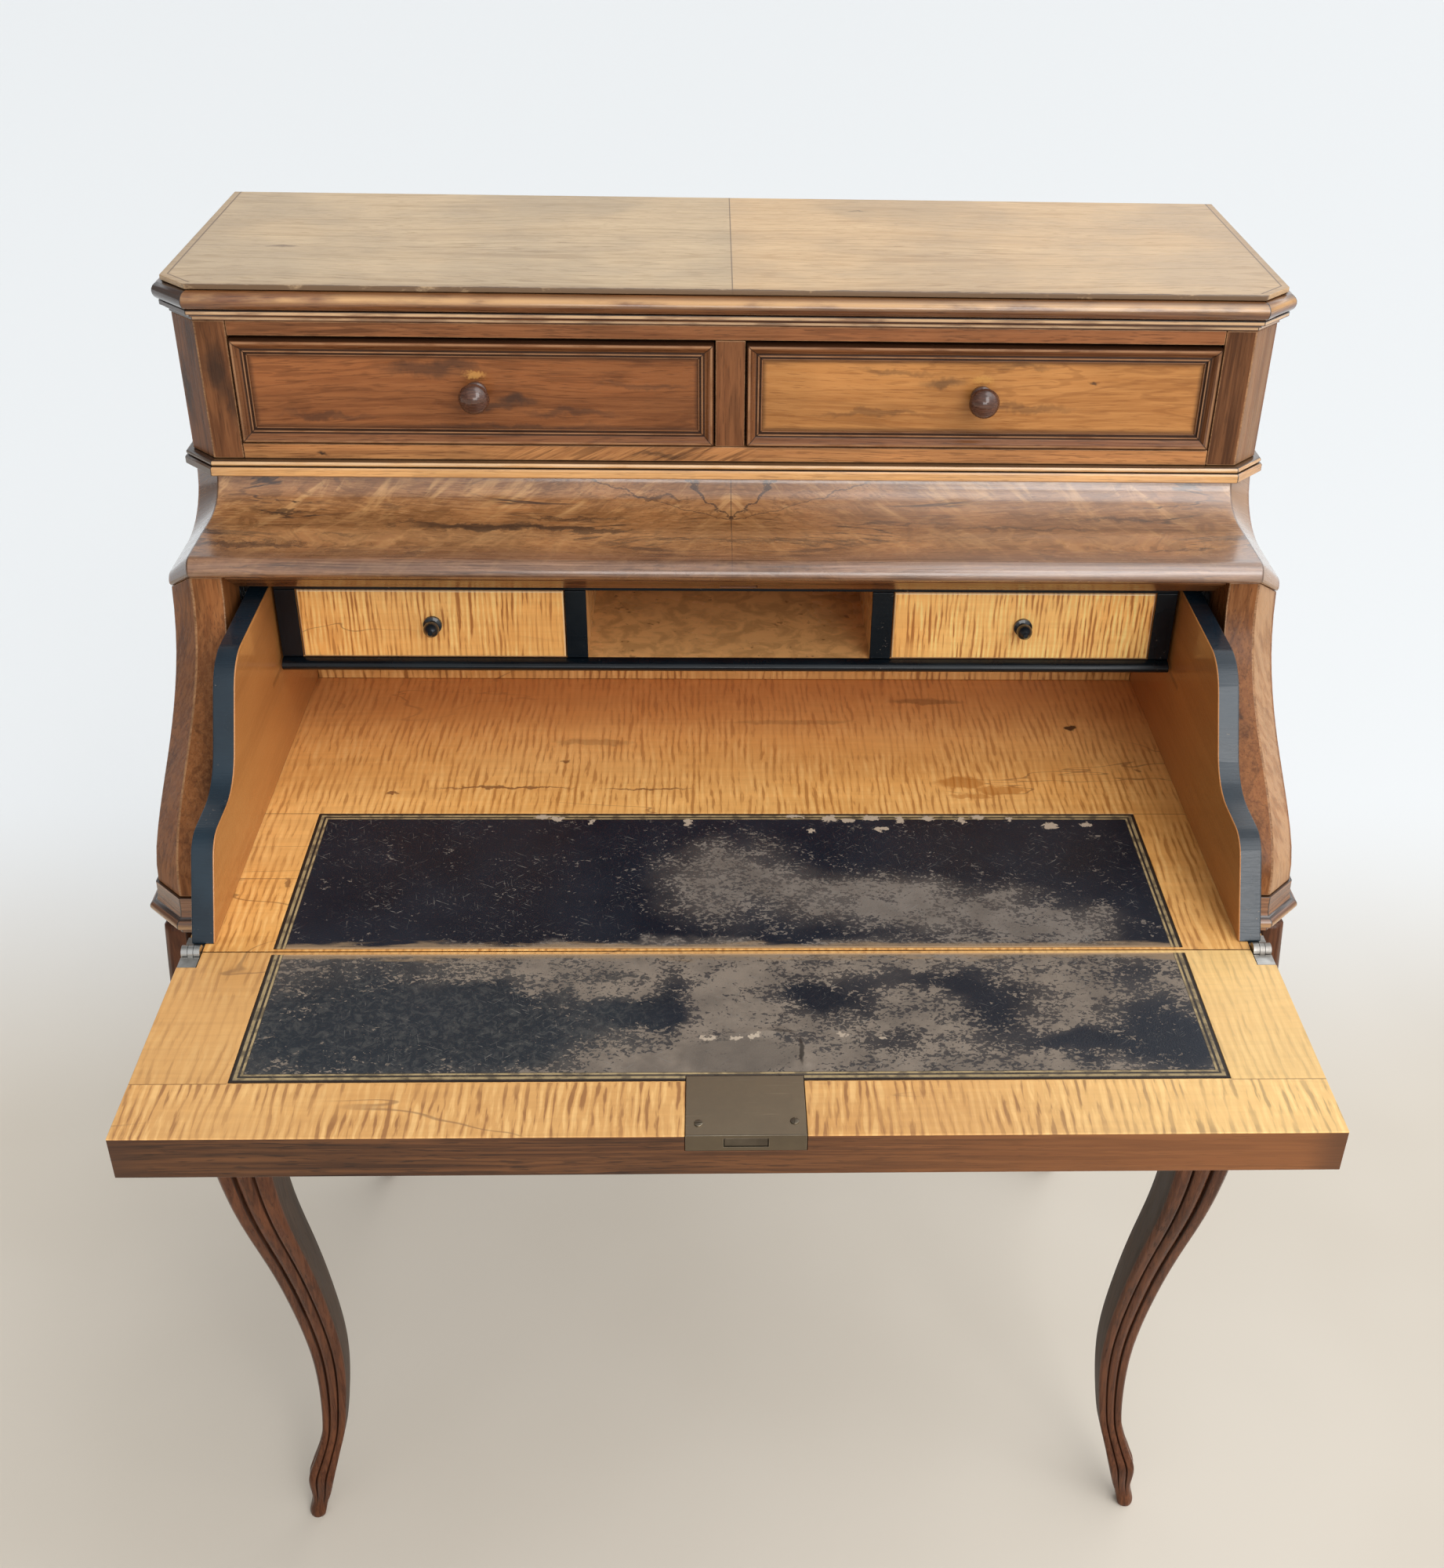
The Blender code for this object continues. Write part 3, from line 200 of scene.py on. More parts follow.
def noise(v, scale=1.0, detail=2.0, roughness=0.5, distortion=0.0, out=0):
    inputs = {"Vector": v, "Scale": scale, "Detail": detail, "Roughness": roughness,
              "Distortion": distortion}
    return put(v.tree, "TexNoise", inputs, out)


def long_noise(v, factors, detail=2.0, roughness=0.5, distortion=0.0):
    """Noise with its own scale along each axis."""
    return noise(stretch(v, factors), 1.0, detail, roughness, distortion)


def apart(v):
    return [Flow(socket) for socket in add_node(v.tree, "SeparateXYZ", {0: v}).outputs]


def joined(x, y, z):
    return put(x.tree, "CombineXYZ", {0: x, 1: y, 2: z})


def group(name, inputs, values, vectors=()):
    """An empty node group: its inputs by name, and a function that fills its outputs and gives it."""
    tree = bpy.data.node_groups.new(name, "ShaderNodeTree")
    for label, value in inputs.items():
        kind = "NodeSocketFloat" if isinstance(value, float) else "NodeSocketVector"
        socket = tree.interface.new_socket(name=label, in_out="INPUT", socket_type=kind)
        if value is not None:
            socket.default_value = value
    for labels, kind in ((values, "NodeSocketFloat"), (vectors, "NodeSocketVector")):
        for label in labels:
            tree.interface.new_socket(name=label, in_out="OUTPUT", socket_type=kind)
    entry = {socket.name: Flow(socket) for socket in tree.nodes.new("NodeGroupInput").outputs}
    leaving = tree.nodes.new("NodeGroupOutput").inputs

    def deliver(**results):
        for label, result in results.items():
            fill(leaving[label], result)
        return tree

    return entry, deliver


def use(shared, **inputs):
    """Places a shared group in the tree of its Vector, and gives its outputs by name."""
    made = inputs["Vector"].tree.nodes.new("ShaderNodeGroup")
    made.node_tree = shared
    for label, value in inputs.items():
        fill(made.inputs[label], value)
    return {socket.name: Flow(socket) for socket in made.outputs}


# Shared effects

def make_wood_grain():
    """Streaks, fibres, growth lines and pores of a board whose grain runs along x."""
    sockets = {"Vector": None, "Length": 1.6, "Width": 26.0, "Sway": 0.02}
    entry, deliver = group("Wood grain", sockets, ("Streak", "Fibre", "Pore", "Line"))
    v = entry["Vector"]
    drift = vector_math("SUBTRACT", noise(stretch(v, (2.2, 7.0, 7.0)), out=1), (0.5, 0.5, 0.5))
    drift = put(v.tree, "VectorMath", {0: drift, "Scale": entry["Sway"]}, operation="SCALE")
    swayed = vector_math("ADD", v, drift)
    run = joined(entry["Length"], entry["Width"], entry["Width"])
    streak = long_noise(swayed, run, 4.0, 0.55, 0.4)
    fibre = long_noise(swayed, stretch(run, (6.0, 11.0, 11.0)), 3.0, 0.65)
    pore = long_noise(swayed, (55.0, 900.0, 900.0), 2.0, 0.6)
    rings = (streak * 58.0).math("SINE")
    return deliver(
        Streak=ease(streak, 0.36, 0.65),
        Fibre=ease(fibre, 0.33, 0.68),
        Pore=ease(pore, 0.55, 0.66),
        Line=ease(rings, 0.66, 0.98),
    )


def make_curl():
    """The rippled cross figure of curly maple, with mineral lines along the grain (x)."""
    sockets = {"Vector": None, "Period": 0.0055}
    entry, deliver = group("Curly figure", sockets, ("Dark", "Pale", "Relief", "Mineral"))
    v = entry["Vector"]
    wide = long_noise(v, (9.0, 5.0, 5.0))
    close = long_noise(v, (70.0, 16.0, 16.0), 3.0, 0.6)
    phase = apart(v)[0] / entry["Period"] + wide * 4.5 + close * 1.6
    wave = (phase * (2 * math.pi)).math("SINE")
    bands = long_noise(v, (250.0, 30.0, 30.0), 3.0, 0.6, 0.3)
    ripple = wave * 0.55 + (bands - 0.5) * 4.0
    patchy = ease(long_noise(v, (15.0, 26.0, 26.0), 3.0), 0.34, 0.54, 0.40, 1.0)
    vein = long_noise(v, (3.0, 15.0, 15.0), 3.0, 0.55, 0.8)
    chosen = ease(long_noise(v, (5.0, 8.0, 8.0), 1.0), 0.50, 0.62)
    return deliver(
        Dark=ease(ripple, 0.18, 0.80) * patchy,
        Pale=ease(ripple, -0.1, -0.85) * patchy,
        Relief=wave * patchy,
        Mineral=line_at(vein, 0.53, 0.0012, 0.006) * chosen,
    )


def make_patch():
    """One soft patch at a place: a knot, a stain, a cloud or a rubbed area."""
    sockets = {"Vector": None, "Centre": (0, 0, 0), "Size": (0.01, 0.01, 0.01), "Soft": 0.5}
    entry, deliver = group("Patch", sockets, ("Mask",))
    away = vector_math("SUBTRACT", entry["Vector"], entry["Centre"])
    away = vector_math("LENGTH", vector_math("DIVIDE", away, entry["Size"]))
    return deliver(Mask=ease(away, 1.0 - entry["Soft"], 1.0, 1.0, 0.0))


def make_handling():
    """Cloudy patina, specks and hairline scratches over a polished face."""
    entry, deliver = group("Handling", {"Vector": None, "Scale": 9.0}, ("Cloud", "Speck", "Scratch"))
    v = entry["Vector"]
    one_way = noise(turned(v, (0.3, 0.4, 0.7), (30.0, 900.0, 900.0)), 1.0, 1.0)
    other_way = noise(turned(v, (-0.5, 0.2, -0.9), (26.0, 800.0, 800.0)), 1.0, 1.0)
    return deliver(
        Cloud=ease(noise(v, entry["Scale"], 4.0, 0.55), 0.3, 0.7),
        Speck=ease(noise(v, 420.0, 2.0, 0.6), 0.66, 0.74),
        Scratch=ease(one_way.math("MAXIMUM", other_way), 0.70, 0.78),
    )


def make_runs():
    """For mouldings round the front: canted runs, mitre lines, and the grain turned along each run."""
    sockets = {"Vector": None, "Front": UPPER_FRONT}
    entry, deliver = group("Moulding runs", sockets, ("Cant", "Mitre"), ("Grain",))
    x, y, z = apart(entry["Vector"])
    wide = abs(x)
    deep = y - entry["Front"]
    c, s = math.cos(math.pi / 8), math.sin(math.pi / 8)
    first = (wide - ARRIS) * c + deep * s
    second = (wide - HALF) * s + (deep - CANT) * c
    cant = first > 0.0
    side = second > 0.0
    on_cant = joined((wide + y) * math.sqrt(0.5), (wide - y) * math.sqrt(0.5), z)
    grain = blend(cant, entry["Vector"], on_cant)
    return deliver(
        Grain=blend(side, grain, joined(y, x, z)),
        Cant=cant - side,
        Mitre=ease(least(abs(first), abs(second)), 0.0002, 0.0007, 1.0, 0.0),
    )


GRAIN = make_wood_grain()
CURL = make_curl()
PATCH = make_patch()
HANDLING = make_handling()
RUNS = make_runs()


def ragged(v, grit, amount):
    """The place, shaken so that patches drawn on it get ragged edges."""
    shake = vector_math("SUBTRACT", noise(v, grit, 4.0, 0.6, out=1), (0.5, 0.5, 0.5))
    return vector_math("ADD", v, stretch(shake, (amount, amount, amount)))


def patch(v, centre, size, soft):
    return use(PATCH, Vector=v, Centre=centre, Size=size, Soft=soft)["Mask"]


def on_front(y, deep, *rows):
    """Marks on an upright face at y, from rows of x, z, half width, half height and strength."""
    return tuple(((x, y, z), (wide, deep, high), share) for x, z, wide, high, share in rows)


def on_top(z, thick, *rows):
    """Marks on a level face at z, from rows of x, y, half width, half depth and strength."""
    return tuple(((x, y, z), (wide, deep, thick), share) for x, y, wide, deep, share in rows)


def stain(colour, v, marks, shade, soft=0.8):
    """Lays marks of one shade over a colour."""
    for centre, size, share in marks:
        colour = blend(patch(v, centre, size, soft) * share, colour, shade)
    return colour


# Materials

def start_material(name):
    """A material, its shader and the place of a point on the desk at rest."""
    material = bpy.data.materials.new(name)
    material.use_nodes = True
    tree = material.node_tree
    return material, tree.nodes["Principled BSDF"], put(tree, "TexCoord", {}, "Object")


def polish(shader, colour, rough, height, bump=0.12, depth=0.0004, coat=0.12, coat_rough=0.22, shine=0.5):
    """Links colour, roughness and relief; the coat is the polish."""
    relief = put(height.tree, "Bump", {"Strength": bump, "Distance": depth, "Height": height})
    settings = {"Base Color": colour, "Roughness": rough, "Normal": relief, "Specular IOR Level": shine,
                "Coat Weight": coat, "Coat Roughness": coat_rough}
    for label, value in settings.items():
        fill(shader.inputs[label], value)


def grain_along(v, axis):
    """The place with the grain's axis turned to x."""
    x, y, z = apart(v)
    return {"x": v, "y": joined(y, x, z), "z": joined(z, x, y)}[axis]


def off_sides(wide):
    """1 on the front and the cants, 0 on the case's sides."""
    return ease(wide, HALF - 0.0030, HALF - 0.0006, 1.0, 0.0)


def walnut_colour(v, dark, mid, light, length=1.6, width=26.0, sway=0.02, streak=0.65, line=0.3, pore=0.45,
                  fibre=0.5):
    """Walnut's colour, its fine relief and its roughness. v has the grain along x."""
    wood = use(GRAIN, Vector=v, Length=length, Width=width, Sway=sway)
    wear = use(HANDLING, Vector=v)
    colour = blend(wood["Streak"] * streak, mid, dark)
    colour = blend(wood["Fibre"] * fibre, colour, light)
    colour = blend(wood["Line"] * line, colour, dark)
    colour = blend(wood["Pore"] * pore, colour, dark)
    shade = ease(wear["Cloud"], 0.0, 1.0, 0.88, 1.10)
    colour = blend(1.0, colour, joined(shade, shade, shade), "MULTIPLY")
    return colour, wood["Fibre"] * 0.4 - wood["Pore"], wood["Fibre"] * 0.10 + wear["Cloud"] * 0.10


def walnut(name, axis="x", dark=(0.05, 0.016, 0.005), mid=(0.23, 0.083, 0.027), light=(0.36, 0.152, 0.053),
           gloss=0.30, marks=(), coat=0.08, coat_rough=0.22, shine=0.2, right_cant_light=0.0, **grain):
    """Walnut with its grain along an axis and dark marks; right_cant_light paints light onto the right
    cant.
    """
    material, shader, v = start_material(name)
    colour, height, rough = walnut_colour(grain_along(v, axis), dark, mid, light, **grain)
    if marks:
        colour = stain(colour, ragged(v, 60.0, 0.016), marks, DARK_MARK)
    if right_cant_light:
        # Painted light: the right canted corner is made paler, with streaks, as if lit from the right.
        x = apart(v)[0]
        streaks = ease(long_noise(v, (170.0, 170.0, 9.0), 3.0), 0.34, 0.62, 0.55, 1.0)
        corner = ease(x, ARRIS - 0.001, ARRIS + 0.001, 0.0, right_cant_light) * off_sides(x)
        colour = blend(corner * streaks, colour, (0.56, 0.345, 0.190))
    polish(shader, colour, rough + (gloss - 0.1), height, coat=coat, coat_rough=coat_rough, shine=shine)
    return material


def top_walnut():
    """The top: two matched leaves of pale walnut, greyed by light, a thin edging, a dark front line."""
    material, shader, v = start_material("Top walnut")
    x, y, z = apart(v)
    leaf = abs(x - LEAF_SEAM)
    right = ease(x, -0.001, 0.003)
    dark = blend(right, (0.34, 0.210, 0.098), (0.40, 0.22, 0.084))
    mid = blend(right, (0.57, 0.405, 0.235), (0.63, 0.415, 0.215))
    light = blend(right, (0.67, 0.505, 0.31), (0.73, 0.51, 0.29))
    colour, height, rough = walnut_colour(
        joined(leaf, y, z), dark, mid, light, length=1.2, width=34.0, sway=0.07, streak=0.28, line=0.34,
        pore=0.6, fibre=0.6)
    marks = on_top(TOP_SURFACE, 0.02, (-0.318, 0.205, 0.016, 0.004, 0.7))
    marks += on_top(1.024, 0.05, (-0.30, 0.125, 0.12, 0.03, 0.12), (-0.25, 0.20, 0.10, 0.05, 0.08),
                    (0.22, 0.17, 0.12, 0.02, 0.08))
    marks += on_top(TOP_SURFACE, 0.02, (0.10, 0.320, 0.012, 0.0022, 0.6))
    colour = stain(colour, ragged(v, 90.0, 0.012), marks, (0.12, 0.065, 0.03))
    colour = blend(ease(leaf, 0.0002, 0.0006, 0.75, 0.0), colour, (0.12, 0.065, 0.035))
    wide = abs(x)
    front = y - (UPPER_FRONT - TOP_OVERHANG)
    corner = (ARRIS - UPPER_FRONT + 1.4 * TOP_OVERHANG - (wide - y)) * math.sqrt(0.5)
    ends = least(HALF + TOP_OVERHANG - wide, corner)
    edging = line_at(ends, 0.0052, 0.0003, 0.0008, 0.8) * (front > 0.0045)
    colour = blend(edging, colour, (0.09, 0.045, 0.022))
    chipped = front + (0.5 - long_noise(v, (55.0, 120.0, 120.0), 4.0, 0.65)) * 0.008
    colour = blend(ease(chipped, 0.0008, 0.0022, 0.92, 0.0), colour, (0.045, 0.022, 0.012))
    colour = blend(ease(least(front, ends), 0.0, 0.009, 0.35, 0.0), colour, (0.26, 0.14, 0.06))
    polish(shader, colour, rough + 0.27, height, 0.1, coat=0.1)
    return material


def low_rail_walnut():
    """The rail under the drawers: golden, with a stretch of slanting grain left of the middle."""
    material, shader, v = start_material("Low rail walnut")
    shades = (0.085, 0.030, 0.010), (0.46, 0.190, 0.064), (0.64, 0.300, 0.105)
    straight, height, rough = walnut_colour(v, *shades, width=50.0, streak=0.55)
    leaning = turned(v, (0.0, 0.45, 0.0))
    slanting = walnut_colour(leaning, *shades, length=3.0, width=45.0, streak=0.6, line=0.5)[0]
    x = apart(v)[0]
    there = ease(x, -0.19, -0.13) * ease(x, 0.0, 0.03, 1.0, 0.0)
    colour = blend(there, straight, slanting)
    marks = on_front(UPPER_FRONT, 0.02, (-0.2865, 0.9045, 0.006, 0.002, 0.9),
                     (-0.05, 0.905, 0.03, 0.003, 0.5))
    colour = stain(colour, ragged(v, 60.0, 0.016), marks, DARK_MARK)
    polish(shader, colour, rough + 0.20, height, coat=0.1, shine=0.25)
    return material


def moulding_walnut(name, front, dark, mid, light, golden, left_cant_shade=0.0, lit_crest=None, grooves=(),
                    fillets=()):
    """A moulding that turns the canted corners: grain along each run, dark mitres, golden wear with a
    painted highlight on the lit crest, painted shade in the grooves and painted highlights on the
    fillets, each with its height and half its width."""
    material, shader, v = start_material(name)
    x, _, z = apart(v)
    runs = use(RUNS, Vector=v, Front=front)
    colour, height, rough = walnut_colour(runs["Grain"], dark, mid, light, width=70.0)
    worn = ease(long_noise(v, (22.0, 22.0, 90.0), 4.0), 0.28, 0.56)
    # The golden wear is kept to the top of the torus: a painted highlight where the light falls.
    if lit_crest:
        worn = worn * line_at(z, lit_crest[0], 0.0, lit_crest[1])
    colour = blend(worn * golden, colour, (0.72, 0.41, 0.165))
    rubbed = ease(long_noise(v, (30.0, 30.0, 200.0), 3.0), 0.34, 0.56, 0.25, 0.85)
    # Pale lines on the fillets: painted highlights, broken by rubbed wear.
    for middle, half in fillets:
        colour = blend(line_at(z, middle, half * 0.5, half) * rubbed, colour, (0.70, 0.45, 0.24))
    # Painted shade: the grooves are darkened.
    for middle, half in grooves:
        colour = blend(line_at(z, middle, half * 0.5, half, 0.9), colour, MITRE_AND_GROOVE_SHADE)
    # Painted shade: the left cant is darkened, as the side turned away from the light.
    shaded_left_cant = runs["Cant"] * ease(x, -0.05, 0.05, left_cant_shade, 0.0)
    colour = blend(shaded_left_cant, colour, (0.03, 0.015, 0.010))
    colour = blend(runs["Mitre"] * 0.9, colour, (0.018, 0.009, 0.005))
    polish(shader, colour, rough + 0.18, height, coat=0.8, coat_rough=0.10)
    return material


def drawer_walnut():
    """A drawer front: clouded panel, a mitred frame whose grain follows its sides, painted highlights and
    shade on it.
    """
    material, shader, v = start_material("Drawer walnut")
    x, _, z = apart(v)
    aside = DRAWER_HALF[0] - abs(abs(x) - DRAWER_MIDDLE[0])
    above = DRAWER_HALF[1] - abs(z - DRAWER_MIDDLE[1])
    edge = least(aside, above)
    # The right drawer is written paler and more golden: partly its wood, partly painted light from the
    # right.
    golden = ease(x, -0.02, 0.02)
    mid = blend(golden, (0.275, 0.093, 0.029), (0.46, 0.196, 0.056))
    light = blend(golden, (0.34, 0.128, 0.042), (0.57, 0.270, 0.085))
    dark = blend(golden, (0.09, 0.028, 0.009), (0.22, 0.078, 0.020))
    panel, height, rough = walnut_colour(
        v, dark, mid, light, length=2.6, width=30.0, sway=0.035, streak=0.5, line=0.35)
    clouds = on_front(
        UPPER_FRONT, 0.03,
        (-0.212, 0.9655, 0.042, 0.0075, 0.62), (-0.190, 0.9700, 0.030, 0.005, 0.6),
        (-0.148, 0.9445, 0.018, 0.006, 0.8), (-0.168, 0.9400, 0.030, 0.004, 0.65),
        (-0.110, 0.9360, 0.045, 0.004, 0.5), (-0.280, 0.9330, 0.045, 0.003, 0.45),
        (-0.150, 0.9255, 0.10, 0.003, 0.4), (-0.06, 0.955, 0.05, 0.003, 0.35),
        (0.148, 0.9600, 0.018, 0.0055, 0.6), (0.115, 0.9670, 0.040, 0.003, 0.4),
        (0.205, 0.9715, 0.034, 0.003, 0.35), (0.210, 0.9420, 0.050, 0.004, 0.4),
        (0.10, 0.936, 0.06, 0.003, 0.35), (0.255, 0.960, 0.004, 0.0016, 0.8))
    panel = stain(panel, ragged(v, 48.0, 0.020), clouds, (0.040, 0.022, 0.016), 0.75)
    close = ragged(v, 420.0, 0.010)
    rows = [(side * 0.1762, 0.9622, 0.0105, 0.0036, 0.75) for side in (-1, 1)]
    panel = stain(panel, close, on_front(UPPER_FRONT, 0.02, *rows), (0.60, 0.30, 0.085), 0.7)
    nick = on_front(UPPER_FRONT + 0.001, 0.02, (0.2845, 0.9775, 0.0038, 0.0014, 1.0))
    panel = stain(panel, close, nick, (0.012, 0.006, 0.004), 0.2)
    along = blend(aside < above, v, grain_along(v, "z"))
    shades = (0.04, 0.013, 0.005), (0.17, 0.060, 0.021), (0.29, 0.122, 0.047)
    rim = walnut_colour(along, *shades, width=75.0)[0]
    # Pale lines along the frame's crest, fillet and bead: painted highlights, broken by rubbed wear.
    rubbed = ease(noise(v, 45.0, 3.0), 0.32, 0.56, 0.35, 1.0)
    for middle, half, share in ((0.0020, 0.0010, 0.55), (0.0084, 0.0007, 0.55), (0.0107, 0.0004, 0.30)):
        rim = blend(line_at(edge, middle, half * 0.4, half, share) * rubbed, rim, (0.46, 0.245, 0.12))
    rim = blend(line_at(aside, above, 0.0002, 0.0007, 0.85), rim, MITRE_AND_GROOVE_SHADE)
    # Dark lines in the frame's grooves and at its outer edge: painted shade and painted shadow.
    for middle, half in ((0.0097, 0.0005), (0.0072, 0.0004), (0.0002, 0.0005)):
        rim = blend(line_at(edge, middle, half, half + 0.0006, 0.85), rim, (0.022, 0.009, 0.005))
    on_panel = edge > FRAME_WIDTH - 0.0003
    colour = blend(on_panel, rim, panel)
    # The panel is made darker next to the frame.
    darker_near_frame = ease(edge, FRAME_WIDTH, FRAME_WIDTH + 0.0035, 0.6, 0.0) * on_panel
    colour = blend(darker_near_frame, colour, (0.04, 0.016, 0.008))
    polish(shader, colour, rough + 0.20, height, coat=0.08, shine=0.2)
    return material


def ogee_walnut():
    """The hollow board: burr walnut in two matched leaves, dark veins, a worn lip, painted sheen on the
    right.
    """
    material, shader, v = start_material("Burr walnut")
    x, y, z = apart(v)
    leaf = abs(x - LEAF_SEAM)
    down = 1.0036 - (y + z)
    spread = joined(leaf, down, 0.0)
    colour, height, rough = walnut_colour(
        spread, (0.090, 0.033, 0.012), (0.335, 0.142, 0.050), (0.50, 0.250, 0.098), length=8.0, width=26.0,
        sway=0.15, streak=0.58, line=0.24, pore=0.5)
    flame = long_noise(turned(spread, (0.0, 0.0, 0.60)), (75.0, 15.0, 1.0), 4.0, 0.6, 0.5)
    upper = ease(down, 0.0, 0.070, 0.6, 0.28)
    colour = blend(ease(flame, 0.52, 0.68) * upper, colour, (0.66, 0.37, 0.150))
    colour = blend(ease(flame, 0.46, 0.32) * upper, colour, (0.150, 0.058, 0.020))
    swirl = noise(spread, 34.0, 5.0, 0.65, 1.6)
    colour = blend(ease(swirl, 0.46, 0.34, 0.0, 0.55), colour, (0.140, 0.056, 0.020))
    colour = blend(ease(swirl, 0.54, 0.68, 0.0, 0.35), colour, (0.56, 0.290, 0.112))
    vein = long_noise(spread, (4.0, 20.0, 1.0), 6.0, 0.60, 0.7)
    chosen = ease(noise(spread, 11.0, 2.0), 0.44, 0.56)
    colour = blend(line_at(vein, 0.5, 0.002, 0.016) * chosen * 0.9, colour, (0.045, 0.024, 0.017))
    wobble = (noise(spread, 70.0, 4.0, 0.6) - 0.5) * 0.034
    for reach, depth, share in ((0.030, 0.048, 0.85), (0.102, 0.050, 0.7)):
        loop = abs(leaf - (depth - down) * (reach / depth) + wobble)
        loop = ease(loop, 0.0006, 0.0024, share, 0.0) * ease(down, depth, depth + 0.002, 1.0, 0.0)
        colour = blend(loop, colour, (0.05, 0.026, 0.018))
    veins = on_top(
        0.0, 1.0,
        (-0.165, 0.064, 0.072, 0.0085, 1.0), (-0.105, 0.068, 0.050, 0.0055, 0.9),
        (-0.205, 0.060, 0.045, 0.0030, 0.7), (-0.110, 0.050, 0.050, 0.0030, 0.6),
        (-0.310, 0.040, 0.030, 0.0030, 0.7), (-0.330, 0.095, 0.060, 0.0060, 0.7),
        (-0.270, 0.078, 0.020, 0.0025, 0.6), (-0.050, 0.020, 0.040, 0.0026, 0.6),
        (0.120, 0.055, 0.060, 0.0030, 0.55), (0.210, 0.062, 0.075, 0.0035, 0.6),
        (0.280, 0.045, 0.050, 0.0028, 0.55), (0.060, 0.085, 0.090, 0.0040, 0.5))
    colour = stain(colour, ragged(joined(x, down, 0.0), 75.0, 0.030), veins, (0.040, 0.020, 0.014), 0.6)
    colour = blend(ease(leaf, 0.0002, 0.0006, 0.7, 0.0), colour, SEAM_BROWN)
    wide = abs(x)
    inward = off_sides(wide)
    # Painted sheen: the upper right of the hollow is paled, as a reflection of bright sky.
    painted_sheen = ease(x, 0.0, 0.16, 0.0, 0.22) * ease(down, 0.030, 0.085, 1.0, 0.35)
    colour = blend(painted_sheen * inward, colour, (0.60, 0.50, 0.44))
    lip = ease(y, 0.016, 0.046, 1.0, 0.0)
    shades = (0.032, 0.014, 0.009), (0.20, 0.093, 0.052), (0.42, 0.235, 0.145)
    lip_wood = walnut_colour(v, *shades, width=60.0, streak=0.8)[0]
    colour = blend(lip * 0.75, colour, lip_wood)
    # Painted sheen on the right of the lip.
    colour = blend(lip * ease(x, 0.02, 0.20, 0.0, 0.16), colour, (0.62, 0.50, 0.43))
    # The cants: the left painted dark as shade, the right painted pale as light from the right.
    cant = ease(wide, ARRIS - 0.0004, ARRIS + 0.0006)
    canted = blend(ease(x, -0.1, 0.1), (0.060, 0.026, 0.013), (0.34, 0.190, 0.098))
    canted = blend(inward, (0.205, 0.074, 0.025), canted)
    colour = blend(cant * 0.75, colour, canted)
    colour = blend(line_at(wide, ARRIS, 0.0003, 0.0010, 0.6), colour, SEAM_BROWN)
    polish(shader, colour, rough + 0.14, height, 0.14, coat=1.0, coat_rough=0.15)
    return material


def maple_colour(v, tone, period, strength, fine=1.0):
    """Golden curly maple: ripples across the grain, closer where fine is over 1, mineral lines along it."""
    curl = use(CURL, Vector=stretch(v, (fine, 1.0, 1.0)), Period=period)
    wood = use(GRAIN, Vector=v, Length=2.0, Width=20.0, Sway=0.03)
    wear = use(HANDLING, Vector=v, Scale=7.0)
    base = (0.66 * tone, 0.325 * tone, 0.090 * tone)
    deep = (0.24 * tone, 0.080 * tone, 0.014 * tone)
    pale = (min(0.98, 0.84 * tone), 0.51 * tone, 0.19 * tone)
    colour = blend(wood["Streak"] * 0.22, base, deep)
    colour = blend(wear["Cloud"] * 0.30, colour, pale)
    colour = blend(curl["Pale"] * (strength * 0.75), colour, pale)
    colour = blend(curl["Dark"] * strength, colour, deep)
    colour = blend(curl["Mineral"] * 0.6, colour, (0.17, 0.07, 0.025))
    colour = blend(wood["Fibre"] * 0.12, colour, deep)
    return colour, curl["Relief"], 0.28 + wear["Cloud"] * 0.14


def curly_maple(name, tone, period, strength, edges=None, fine=1.0):
    """Curly maple on a small front or board. edges is a front's box, for the pale line round it."""
    material, shader, v = start_material(name)
    colour, height, rough = maple_colour(v, tone, period, strength, fine)
    if edges:
        x, _, z = apart(v)
        (x0, _, z0), (x1, _, z1) = edges
        aside = abs(x1 - x0) / 2 - abs(abs(x) - (abs(x0) + abs(x1)) / 2)
        above = (z1 - z0) / 2 - abs(z - (z0 + z1) / 2)
        colour = blend(ease(least(aside, above), 0.0006, 0.0012, 0.55, 0.0), colour, (0.80, 0.60, 0.38))
    polish(shader, colour, rough, height, 0.14, coat=0.2)
    return material


def leather_joint(x, y, at, share):
    """The joint in the maple that runs out from the leather's corners to the ends."""
    return line_at(y, at, 0.0002, 0.0006, share) * ease(abs(x), LEATHER_HALF, LEATHER_HALF + 0.001)


